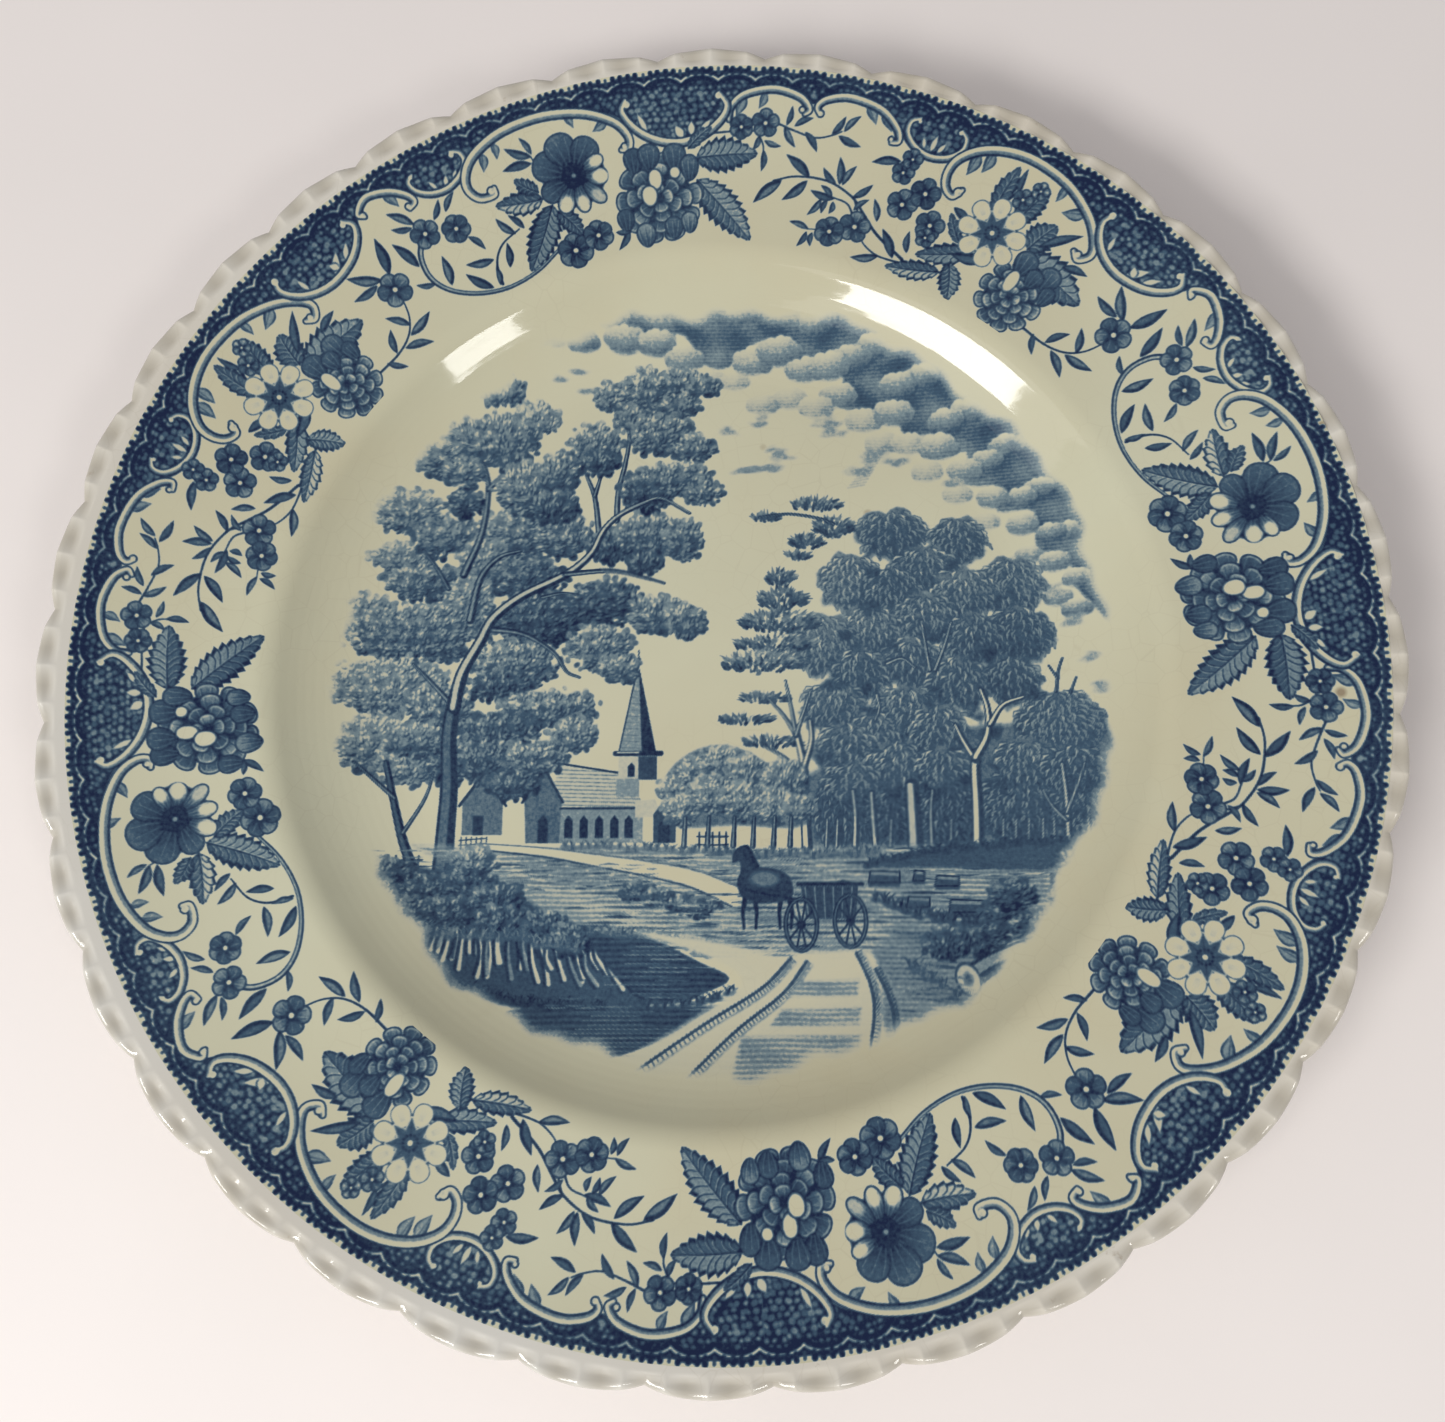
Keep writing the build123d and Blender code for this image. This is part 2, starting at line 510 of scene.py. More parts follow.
@dataclass(frozen=True)
class Blossom:
    """A small round flower with a dark eye and a light centre.

    Args:
        centre: Its middle.
        radius: Its radius.
        petals: How many petals it has.
        tone: The tone of its petals.
        turn: Direction of its first petal, in degrees.
    """

    centre: Point
    radius: float
    petals: int = 5
    tone: float = Tone.MID
    turn: float = 90.0

    def draw(self, sheet: Sheet) -> None:
        """Cut the flower into a sheet."""
        x, y = self.centre
        for index in range(self.petals):
            turn = self.turn + 360 * index / self.petals
            middle = spoke(self.centre, self.radius * 0.56, math.radians(turn))
            tone = self.tone - 0.1 + (0.12 if index % 2 else -0.12)
            Petal(middle, self.radius * 0.95, self.radius * 0.92, turn, tone, folds=2).draw(sheet)
        sheet.dot(x, y, self.radius * 0.32, Tone.INK, soft=0.4)
        for index in range(self.petals):
            turn = math.radians(self.turn + 360 * (index + 0.5) / self.petals)
            sheet.stroke((self.centre, spoke(self.centre, self.radius * 0.62, turn)), (0.5, 0.16), Tone.INK)
        sheet.dot(x, y, self.radius * 0.15, Tone.BARE)


@dataclass(frozen=True)
class StarDaisy:
    """A flower of eight white petals behind an eight pointed star.

    Args:
        centre: Its middle.
        radius: From the middle to the ends of the petals.
    """

    centre: Point
    radius: float

    def draw(self, sheet: Sheet) -> None:
        """Cut the flower into a sheet."""
        x, y = self.centre
        sheet.dot(x, y, self.radius * 0.72, Tone.INK, soft=0.5)
        for index in range(8):
            turn = 22.5 + 45 * index
            middle = spoke(self.centre, self.radius * 0.72, math.radians(turn))
            petal = Petal(middle, self.radius * 0.58, self.radius * 0.49, turn, folds=0)
            sheet.fill(petal.outline(0.2), Tone.MID)
            sheet.fill(petal.outline(-0.05), Tone.BARE)
            for swing in (-0.5, 0.0, 0.5):
                lean = math.radians(turn + 9 * swing)
                fold = [spoke(self.centre, part * self.radius, lean)
                        for part in (0.6, 0.74, 0.88 - 0.1 * abs(swing))]
                sheet.stroke(fold, (0.34, 0.2, 0.1), Tone.PALE, 0.5, soft=0.3)
        star = [spoke(self.centre, self.radius * reach, math.radians(22.5 * (index + 1)))
                for index, reach in enumerate((0.34, 0.62) * 8)]
        sheet.stroke(star + star[:1], 0.62, Tone.HAZE)
        sheet.fill(star, Tone.MID + 0.08, soft=0.2)
        for index in range(8):
            tip = spoke(self.centre, 0.6 * self.radius, math.radians(45 * index))
            sheet.stroke((self.centre, tip), (0.42, 0.1), Tone.DEEP)
        for index in range(12):
            sheet.dot(*spoke(self.centre, 1.35, math.radians(30 * index)), 0.3, Tone.INK)
        sheet.dot(x, y, 0.5, Tone.BARE)


@dataclass(frozen=True)
class Rose:
    """A full rose: rows of overlapping petals with light edges, round a dark heart.

    Args:
        centre: Its middle.
        radius: Its radius across the border.
        stretch: Its height over its width.
        rows: Radius, count and tone of each row of petals, outermost first.
        turn: Which way the flower leans, in degrees.
    """

    centre: Point
    radius: float
    stretch: float = 1.0
    rows: tuple[tuple[float, int, float], ...] = (
        (0.84, 10, Tone.MID),
        (0.62, 8, Tone.MID - 0.12),
        (0.4, 6, Tone.MID - 0.04),
        (0.2, 4, Tone.PALE),
    )
    turn: float = 90.0

    def draw(self, sheet: Sheet) -> None:
        """Cut the flower into a sheet."""
        x, y = self.centre
        place = Placing(x, y, math.radians(self.turn - 90))
        ring = np.linspace(0, 2 * math.pi, 30, endpoint=False)
        heart = np.stack([0.8 * np.cos(ring), 0.8 * self.stretch * np.sin(ring)], axis=1)
        sheet.fill(place.out(heart * self.radius), Tone.INK, soft=0.4)
        for step, (reach, count, tone) in enumerate(self.rows):
            for index in range(count):
                turn = 2 * math.pi * (index + 0.5 * (step % 2)) / count + 0.3 * step
                spot = np.array([[math.cos(turn), self.stretch * math.sin(turn)]])
                middle = place.out(spot * reach * self.radius)[0]
                size = self.radius * (0.52 - 0.05 * step)
                facing = math.degrees(math.atan2(middle[1] - y, middle[0] - x))
                light = tone - 0.08 + 0.13 * ((index * 5 + step) % 3 - 1) - 0.06 * math.sin(turn)
                petal = Petal(tuple(middle), size * 0.8, size * 0.96, facing, light, folds=2)
                petal.draw(sheet)
                self.lip(sheet, petal)
        sheet.dot(x, y, self.radius * 0.13, Tone.INK, soft=0.4)

    @staticmethod
    def lip(sheet: Sheet, petal: Petal) -> None:
        """Turn a light edge over at the outer end of a petal."""
        edge = petal.outline(-0.35)
        lip = np.vstack([edge[-6:], edge[:7]])
        sheet.stroke(lip, 0.4 * np.sin(np.linspace(0.15, math.pi - 0.15, len(lip))), Tone.HAZE, 0.7)


@dataclass(frozen=True)
class Sprig:
    """Stems with their leaves and small flowers.

    Args:
        stems: For each stem, its points and its width.
        leaves: The leaves.
        blossoms: The flowers.
    """

    stems: tuple[tuple[tuple[Point, ...], float], ...] = ()
    leaves: tuple[tuple[Point, Point], ...] = ()
    blossoms: tuple[tuple[Point, float], ...] = ()

    def draw(self, sheet: Sheet) -> None:
        """Cut the sprig into a sheet."""
        for points, width in self.stems:
            path = smooth(polars(points), 6)
            widths = np.linspace(width, width * 0.55, len(path))
            sheet.stroke(path, widths, Tone.INK)
            if width > 0.6:
                sheet.stroke(shifted(path, 0.08), widths * 0.42, Tone.PALE - 0.1)
        for index, (base, tip) in enumerate(self.leaves):
            bend = 0.35 if index % 2 else -0.25
            Leaf(polar(*base), polar(*tip), bend=bend, lift=0.3 + 0.08 * (index % 3)).draw(sheet)
        for index, (centre, radius) in enumerate(self.blossoms):
            tone = Tone.MID + 0.06 * (index % 2)
            Blossom(polar(*centre), radius, 5 + index % 2, tone, 90 - centre[0]).draw(sheet)


@dataclass(frozen=True)
class Scroll:
    """A white ribbon of a scroll, with a dark inner line and curled ends.

    Args:
        points: Angles and radii along it.
        width: Its widest.
        curls: Angle, radius and size of each curled end's ball.
        leaflets: Angle and radius of the root and tip of each leaflet.
    """

    points: tuple[Point, ...]
    width: float = 1.25
    curls: tuple[Point3, ...] = ()
    leaflets: tuple[tuple[Point, Point], ...] = ()

    def draw(self, sheet: Sheet) -> None:
        """Cut the scroll into a sheet."""
        path = smooth(polars(self.points), 8)
        share = np.linspace(0, 1, len(path))
        widths = self.width * (0.5 + 0.5 * np.sin(math.pi * share) ** 0.6)
        for base, tip in self.leaflets:
            start, end = polar(*base), polar(*tip)
            length = math.dist(start, end)
            sheet.fill(lens(start, end, length * 0.52, 0.25, 0.7), Tone.INK)
            sheet.fill(lens(start, end, length * 0.36, 0.3, 0.7), Tone.PALE, soft=0.5)
            sheet.stroke((start, end), (0.3, 0.1), Tone.DEEP, 0.7)
        sheet.stroke(path, widths + 0.62, Tone.INK)
        for angle, radius, size in self.curls:
            sheet.dot(*polar(angle, radius), size + 0.32, Tone.INK)
        side = -widths / 2
        sheet.stroke(path, widths, Tone.BARE)
        sheet.stroke(shifted(path, side * 0.62), widths * 0.46, Tone.MID, 0.8, soft=0.4)
        sheet.stroke(shifted(path, side - 0.2), 0.42, Tone.INK)
        for angle, radius, size in self.curls:
            x, y = polar(angle, radius)
            sheet.dot(x, y, size, Tone.BARE)
            sheet.dot(x + size * 0.3, y - size * 0.3, size * 0.45, Tone.PALE, cover=0.6, soft=0.4)


# ---- the border's design
GROUND_EDGE: tuple[Point, ...] = (
    (-4.5, 108.6), (-1, 110.5), (0.6, 113.5), (1.5, 115), (2.5, 117.5), (5.5, 119.2), (8.5, 118.3),
    (9.6, 116.6), (10.3, 117.8), (13, 119.3), (16.5, 118.2), (18.6, 115.5), (19.2, 113.8), (20.3, 112.3),
    (22.2, 111.7), (24, 112.3), (25, 113.8), (26.6, 116.3), (29, 118.7), (32, 119.6), (36, 118.9),
    (39.5, 116.5), (41.3, 113.8), (43, 111.2), (45.5, 110.2), (48.5, 111), (50.3, 113), (51.2, 115.5),
    (52, 118), (53.5, 119.8), (55.6, 118.8), (57, 116.5), (57.9, 114.4), (59.3, 113), (61, 112.6),
    (63, 113.8), (64.2, 116), (67, 118.5), (71.5, 119.5), (76, 118.2), (79.5, 115.5), (81.5, 111.5),
    (84, 109), (86.5, 108.4),
)

SCROLLS: tuple[Scroll, ...] = (
    Scroll(((1.2, 112.6), (1.4, 115.2), (2.8, 117.6), (5.6, 118.8), (8.2, 117.7), (9.3, 115.6),
            (8.9, 114.5)),
           1.2, ((8.6, 115.3, 0.45),),
           (((2.6, 117.6), (1.9, 113.3)), ((4.8, 118), (4.2, 114.9)))),
    Scroll(((10.4, 114.8), (10.1, 116.3), (11, 117.9), (13.2, 118.9), (16.3, 117.9), (18.3, 115.3),
            (18.9, 113), (18.2, 112.3)),
           1.2, ((10.5, 115, 0.5), (18.1, 112.9, 0.4)),
           (((15, 118), (16.2, 114.9)), ((16.6, 117.2), (17.9, 114.3)))),
    Scroll(((20.3, 118.2), (19.5, 117.2), (19.5, 115), (20.6, 112.9), (22.3, 111.9), (24.1, 112.7),
            (25.3, 114.9), (25.3, 117.2), (24.6, 118.4)),
           1.05, ((20.35, 117.6, 0.42), (24.5, 118, 0.45))),
    Scroll(((27, 108.2), (26.3, 106.4), (25.2, 107.6), (24.8, 110.3), (25.3, 113.4), (27, 116.4),
            (29.6, 118.4), (32.6, 119), (36.2, 118.1), (39.4, 115.6), (41.4, 112.6), (42.2, 109.9),
            (41.4, 107.8), (40.5, 108.7)),
           1.5, ((26.7, 107.5, 0.75), (41.1, 108.6, 0.55)),
           (((27, 115.8), (26.7, 111.2)), ((28.3, 117), (28, 112.7)), ((36, 117.6), (36, 114.4)),
            ((39.2, 115.4), (37.1, 113.3)))),
    Scroll(((41.4, 118.3), (41, 116), (41.9, 113.1), (43.6, 111), (45.8, 110.3), (48.4, 111.4),
            (50.2, 113.8), (50.9, 116.4), (50.2, 118.3)),
           1.35, ((41.35, 118, 0.72), (50.05, 117.6, 0.6))),
    Scroll(((52.3, 116.4), (51.9, 117.6), (53.4, 119.3), (55.5, 118), (56.9, 115.7), (57.3, 113.8),
            (56.5, 113)),
           1.2, ((52.2, 116.8, 0.5), (56.5, 113.5, 0.5)),
           (((55, 118), (55.7, 114.4)),)),
    Scroll(((58.4, 118.3), (57.7, 117.3), (58, 115.2), (59.2, 113.4), (60.9, 112.8), (62.6, 113.9),
            (63.7, 116), (63.6, 118), (62.8, 118.9)),
           1.05, ((58.2, 118, 0.42), (62.8, 118.2, 0.55))),
    Scroll(((65.3, 109), (65, 107.7), (63.4, 108.3), (62.7, 111), (63.3, 114), (65, 116.6),
            (68.2, 118.5), (72.2, 118.8), (76.2, 117.4), (79.2, 114.6), (80.5, 111.5), (80.5, 109),
            (79.6, 108.8)),
           1.5, ((64.9, 108.7, 0.65), (80, 109.4, 0.5)),
           (((65.6, 116), (65, 112.6)), ((67, 117), (66.8, 113.9)), ((74.6, 117.6), (75.2, 115)),
            ((78.6, 115.2), (77, 113.4)))),
    Scroll(((80.8, 118), (80.3, 116), (81.3, 112.6), (83.2, 109.9), (85.8, 108.7), (88.4, 109.8),
            (90.3, 112.6), (91, 115.4), (90.2, 117.8)),
           1.35, ((80.9, 117.2, 0.7), (90.1, 117.3, 0.65))),
)

ACANTHUS: tuple[tuple[Point, Point, float], ...] = (
    ((21.6, 113), (21.2, 115.2), 0.9), ((22.3, 112.8), (22.5, 116.2), 1.1),
    ((23, 113), (23.6, 115.3), 0.9), ((46.2, 111), (47.8, 114.6), 1.5),
    ((47, 111.6), (46.3, 113.4), 1.4), ((48, 112), (49.2, 114.8), 1.1),
    ((43.2, 112.4), (42.9, 115.4), 1.0), ((60, 113.6), (59.5, 115.8), 0.9),
    ((60.9, 113.4), (61.4, 115.3), 1.0), ((61.9, 113.9), (62.6, 115.4), 0.8),
    ((86.3, 109.6), (85.6, 112), 1.7), ((87.2, 110), (87.3, 112.7), 1.4),
    ((88.2, 110.4), (89.3, 112.8), 1.2), ((82.6, 111.4), (81.8, 115.3), 1.1),
)

LEFT_TENDRIL = Sprig(
    stems=(
        (((24, 91), (20, 94), (17.6, 97.4), (15.7, 100.2), (12.6, 102.3), (9, 102.3), (6.4, 101)), 0.6),
        (((16.4, 96.6), (15.4, 98.6), (13.8, 99.2), (12.4, 99.4)), 0.42),
        (((17.2, 96.6), (16.4, 98.8), (15.8, 100.3)), 0.42),
        (((15.4, 93), (13.2, 92.4), (11.3, 92)), 0.36),
        (((24.5, 90.3), (21, 90), (18.8, 91.4), (18, 93)), 0.4),
    ),
    leaves=(
        ((10.5, 102.5), (7.5, 106.5)), ((10.3, 101.8), (7.6, 97.2)), ((7.4, 101.3), (4.2, 96.2)),
        ((13.6, 102), (11.8, 104.9)), ((14, 102), (13.4, 107.5)), ((14.3, 102), (15.4, 106.4)),
        ((15.8, 100), (17.7, 103.6)), ((16.3, 97.6), (17.8, 100.5)), ((19.4, 96.6), (18.3, 101)),
        ((13.8, 99), (10.8, 100)), ((13.5, 99.3), (11.9, 101.3)), ((12.3, 98.6), (10.9, 94.8)),
        ((13, 98.6), (12.6, 95.6)), ((13.7, 98.5), (13.5, 95.8)), ((11.5, 92), (8.9, 93.1)),
        ((11.3, 91.5), (10.3, 88.1)), ((12, 91.5), (12.1, 88.5)), ((21, 90), (17.5, 88.2)),
        ((22.8, 90.5), (20.3, 95.7)), ((24.2, 92.5), (23.5, 97)),
    ),
    blossoms=(((17, 94.4), 3.1), ((14.1, 92.3), 2.9)),
)

UPPER_SPRIG = Sprig(
    stems=(
        (((-1, 110.1), (1.5, 110.4), (4, 110.6)), 0.42),
        (((6.4, 112.2), (8, 111.2), (10.3, 110.3), (12, 111.2), (13, 112.3)), 0.42),
        (((4.3, 110), (4.9, 108), (5, 106)), 0.4),
    ),
    leaves=(
        ((7.2, 112), (7.6, 115.9)), ((8, 112), (9.9, 114)), ((7, 111.9), (8.4, 107.9)),
        ((9.2, 111.2), (10.8, 107.5)), ((12, 111.4), (13.1, 115.3)), ((13.2, 112.3), (14.6, 115.9)),
        ((12.7, 111.4), (15.3, 110.1)), ((4.4, 109.6), (3.8, 106.8)), ((5, 108.8), (6.9, 107.9)),
        ((5, 107), (4.9, 102.6)), ((19.8, 109.4), (16.8, 107.8)),
    ),
    blossoms=(((5, 112.2), 2.7), ((2.5, 111.3), 2.3)),
)

RIGHT_SPRIG = Sprig(
    stems=(
        (((41.5, 91), (45, 91.1), (47.6, 92.6), (49.2, 95.5), (50, 99.4)), 0.5),
        (((50.2, 104), (50.2, 102.4)), 0.4),
    ),
    leaves=(
        ((43.2, 91.4), (44.9, 87.9)), ((46.2, 91.1), (49.6, 88.4)), ((47.8, 92.3), (51.6, 93.9)),
        ((45, 91.4), (46.5, 96)), ((48.7, 94), (46.9, 98.4)), ((49.6, 104.6), (46.7, 109.3)),
        ((50.6, 104.6), (51.7, 112.1)), ((48.8, 104.4), (45.6, 104.9)),
    ),
    blossoms=(((50, 101.6), 3.4),),
)

TENDRIL = Sprig(
    stems=(
        (((56, 107), (54.6, 104), (54.1, 99.4), (55.2, 95), (58, 91.3), (61.8, 89.4), (66, 90),
          (69.5, 92.5)), 1.25),
        (((61.2, 90.6), (61.8, 95), (63.4, 98), (66, 99.5)), 0.5),
    ),
    leaves=(
        ((53.8, 102.4), (52.8, 109.2)), ((54.2, 97.7), (52.2, 99.8)), ((55.7, 95.6), (56.6, 101.9)),
        ((60, 90.8), (57.8, 96.2)), ((60.9, 90.6), (61.5, 94.6)), ((61.7, 96), (58.4, 97.8)),
        ((63, 93), (64, 98)), ((60.3, 102.6), (61.4, 98.6)), ((56, 110), (54.1, 114.6)),
        ((55.6, 109.6), (53.6, 111.6)), ((58, 108.7), (59.5, 111.9)), ((59.5, 109), (61.3, 111.8)),
    ),
    blossoms=(((56.4, 107.3), 2.9), ((59.6, 105.1), 2.8)),
)

TOP_LEAVES = Sprig(
    stems=((((70.4, 109), (70.2, 111.6), (69.8, 113)), 0.36),),
    leaves=(((70, 110.8), (66.8, 111.3)), ((70.2, 112), (67.8, 115.3)), ((70.3, 112.4), (69.6, 116.3)),
            ((78.8, 92.6), (76.9, 88.8)), ((77, 92.6), (79.2, 92.2)), ((65.4, 98.8), (64, 103.4)),
            ((66.6, 99.2), (65.4, 103))),
)


@dataclass(frozen=True)
class Bouquets:
    """The two large bunches of flowers in each repeat of the border."""

    def draw(self, sheet: Sheet) -> None:
        """Cut both bunches, the leaves behind the flowers first."""
        self.star_bunch(sheet)
        self.rose_bunch(sheet)

    @staticmethod
    def star_bunch(sheet: Sheet) -> None:
        """Cut the bunch of the star daisy and the tall rose."""
        for base, tip, width, teeth, light in (
            ((31, 107), (31.2, 116.8), 4.2, 6, Tone.MID), ((33.6, 107), (35, 115.6), 5.0, 7, Tone.MID),
            ((36.4, 104), (37.6, 110.8), 6.2, 6, Tone.MID),
            ((36.6, 102.5), (44.9, 101.2), 8.6, 8, Tone.PALE),
            ((31, 97.8), (25.2, 93), 4.6, 6, Tone.PALE), ((28.9, 91.6), (22.2, 88.6), 4.2, 7, Tone.HAZE),
            ((29.6, 94), (31.6, 87.2), 4.6, 7, Tone.PALE), ((29.5, 98.5), (27, 103.4), 2.6, 4, Tone.MID),
        ):
            SerratedLeaf(polar(*base), polar(*tip), width, teeth, 0.2, light).draw(sheet)
        for base, tip, width in (
            ((37.2, 105.4), (40.4, 112), 1.9), ((32.4, 112), (32, 117.2), 1.3), ((33.2, 98), (29, 96), 2.6),
            ((27, 104.6), (29.6, 102.4), 1.8), ((40.6, 105), (43.4, 106.4), 1.7),
        ):
            Leaf(polar(*base), polar(*tip), width, 0.3, 0.34).draw(sheet)
        for centre, radius, tone in (
            ((34.2, 114.6), 1.7, Tone.PALE), ((33.1, 111.6), 2.0, Tone.MID), ((20.4, 107.4), 2.2, Tone.MID),
            ((20.9, 110.4), 2.0, Tone.MID), ((21.5, 101.4), 3.0, Tone.MID), ((23.5, 104.9), 3.0, Tone.DEEP),
            ((25.4, 99.4), 2.9, Tone.DEEP - 0.1), ((25.5, 96.8), 1.9, Tone.MID),
        ):
            Blossom(polar(*centre), radius, 5, tone - 0.06, 90 - centre[0]).draw(sheet)
        Rose(polar(38, 94.4), 6.5, 1.12, turn=90 - 38).draw(sheet)
        for centre, length, width, tone in (
            ((37.2, 101.4), 5.2, 4.6, Tone.MID), ((40.4, 101.4), 5.0, 4.4, Tone.MID - 0.06),
            ((39, 99.8), 4.0, 3.6, Tone.DEEP - 0.16), ((41.4, 98.4), 4.2, 3.0, Tone.DEEP - 0.1),
        ):
            Petal(polar(*centre), length, width, 90 - centre[0], tone).draw(sheet)
        Petal(polar(37, 97), 5.0, 2.6, 90 - 37, Tone.BARE, folds=0).draw(sheet)
        sheet.dot(*polar(37, 97), 1.15, Tone.BARE, stretch=1.9, turn=math.radians(53), soft=0.4)
        StarDaisy(polar(32.1, 103.3), 6.9).draw(sheet)

    @staticmethod
    def rose_bunch(sheet: Sheet) -> None:
        """Cut the bunch of the dog rose and the cabbage rose."""
        for base, tip, width, teeth, light in (
            ((70.6, 101.6), (65.2, 90.4), 6.4, 9, Tone.PALE),
            ((69.8, 103.4), (64.6, 105.6), 5.0, 6, Tone.HAZE),
            ((69.6, 105), (67.6, 109), 3.4, 5, Tone.DEEP), ((71, 100), (73, 93.6), 4.2, 6, Tone.MID),
            ((87.6, 105.4), (94.4, 106.2), 7.0, 8, Tone.PALE),
            ((87.6, 101), (94.2, 88.4), 7.2, 10, Tone.PALE),
            ((86.8, 107.4), (89.4, 111.4), 2.6, 5, Tone.MID),
        ):
            SerratedLeaf(polar(*base), polar(*tip), width, teeth, 0.25, light).draw(sheet)
        for centre, radius in (((71.5, 91.2), 3.5), ((74.8, 92.9), 3.0)):
            Blossom(polar(*centre), radius, 6, Tone.MID, 90 - centre[0]).draw(sheet)
        Rose(polar(83, 98), 8.4, 1.08, turn=90 - 83).draw(sheet)
        for centre, length, width, tone in (
            ((80.7, 106.2), 5.0, 4.0, Tone.DEEP - 0.1), ((82.4, 106.6), 5.0, 4.4, Tone.MID),
            ((85.2, 106), 5.2, 4.6, Tone.MID), ((86.8, 103.6), 5.2, 3.6, Tone.MID - 0.04),
            ((80.8, 90.8), 5.0, 3.8, Tone.PALE), ((84.4, 91.6), 4.6, 3.6, Tone.MID),
            ((86.4, 92.4), 4.4, 3.2, Tone.PALE), ((78.6, 94.6), 4.6, 3.4, Tone.DEEP - 0.1),
        ):
            Petal(polar(*centre), length, width, 90 - centre[0], tone).draw(sheet)
        for centre, length, width in (
            ((82.8, 101.8), 4.4, 2.8), ((81.9, 98.6), 4.4, 3.2), ((85.1, 102.8), 2.4, 2.2),
        ):
            facing = 90 - centre[0]
            Petal(polar(*centre), length, width, facing, Tone.BARE, folds=0).draw(sheet)
            sheet.dot(*polar(*centre), width * 0.42, Tone.BARE, stretch=length / width,
                      turn=math.radians(facing), soft=0.4)
        heart = polar(73.9, 106)
        sheet.dot(*heart, 6.4, Tone.INK, soft=0.5)
        for reach, turn, length, width, tone in (
            (5.4, 58, 6.4, 6.0, Tone.MID), (5.6, 12, 6.6, 6.2, Tone.MID - 0.04),
            (5.2, -40, 6.0, 5.6, Tone.MID), (5.0, 112, 5.4, 4.4, Tone.MID),
            (5.2, 150, 5.4, 3.4, Tone.BARE), (5.0, 184, 5.6, 3.0, Tone.BARE),
            (5.4, 216, 5.8, 2.9, Tone.HAZE), (4.7, 254, 4.6, 3.6, Tone.BARE),
            (4.6, -72, 4.8, 2.8, Tone.BARE),
        ):
            facing = math.radians(turn + 16)
            spot = spoke(heart, reach, facing)
            Petal(spot, length, width, math.degrees(facing), tone).draw(sheet)
            if tone < Tone.PALE:
                outer = spoke(spot, 0.7, facing)
                sheet.dot(*outer, width * 0.36, tone, stretch=1.3, turn=facing, cover=0.9, soft=0.5)
        for index in range(16):
            tip = spoke(heart, 1.5 + 0.6 * (index % 3), 2 * math.pi * index / 16)
            sheet.stroke((heart, tip), (0.2, 0.3), Tone.INK)
            sheet.dot(*tip, 0.3, Tone.INK)
        sheet.dot(*heart, 0.45, Tone.PALE)


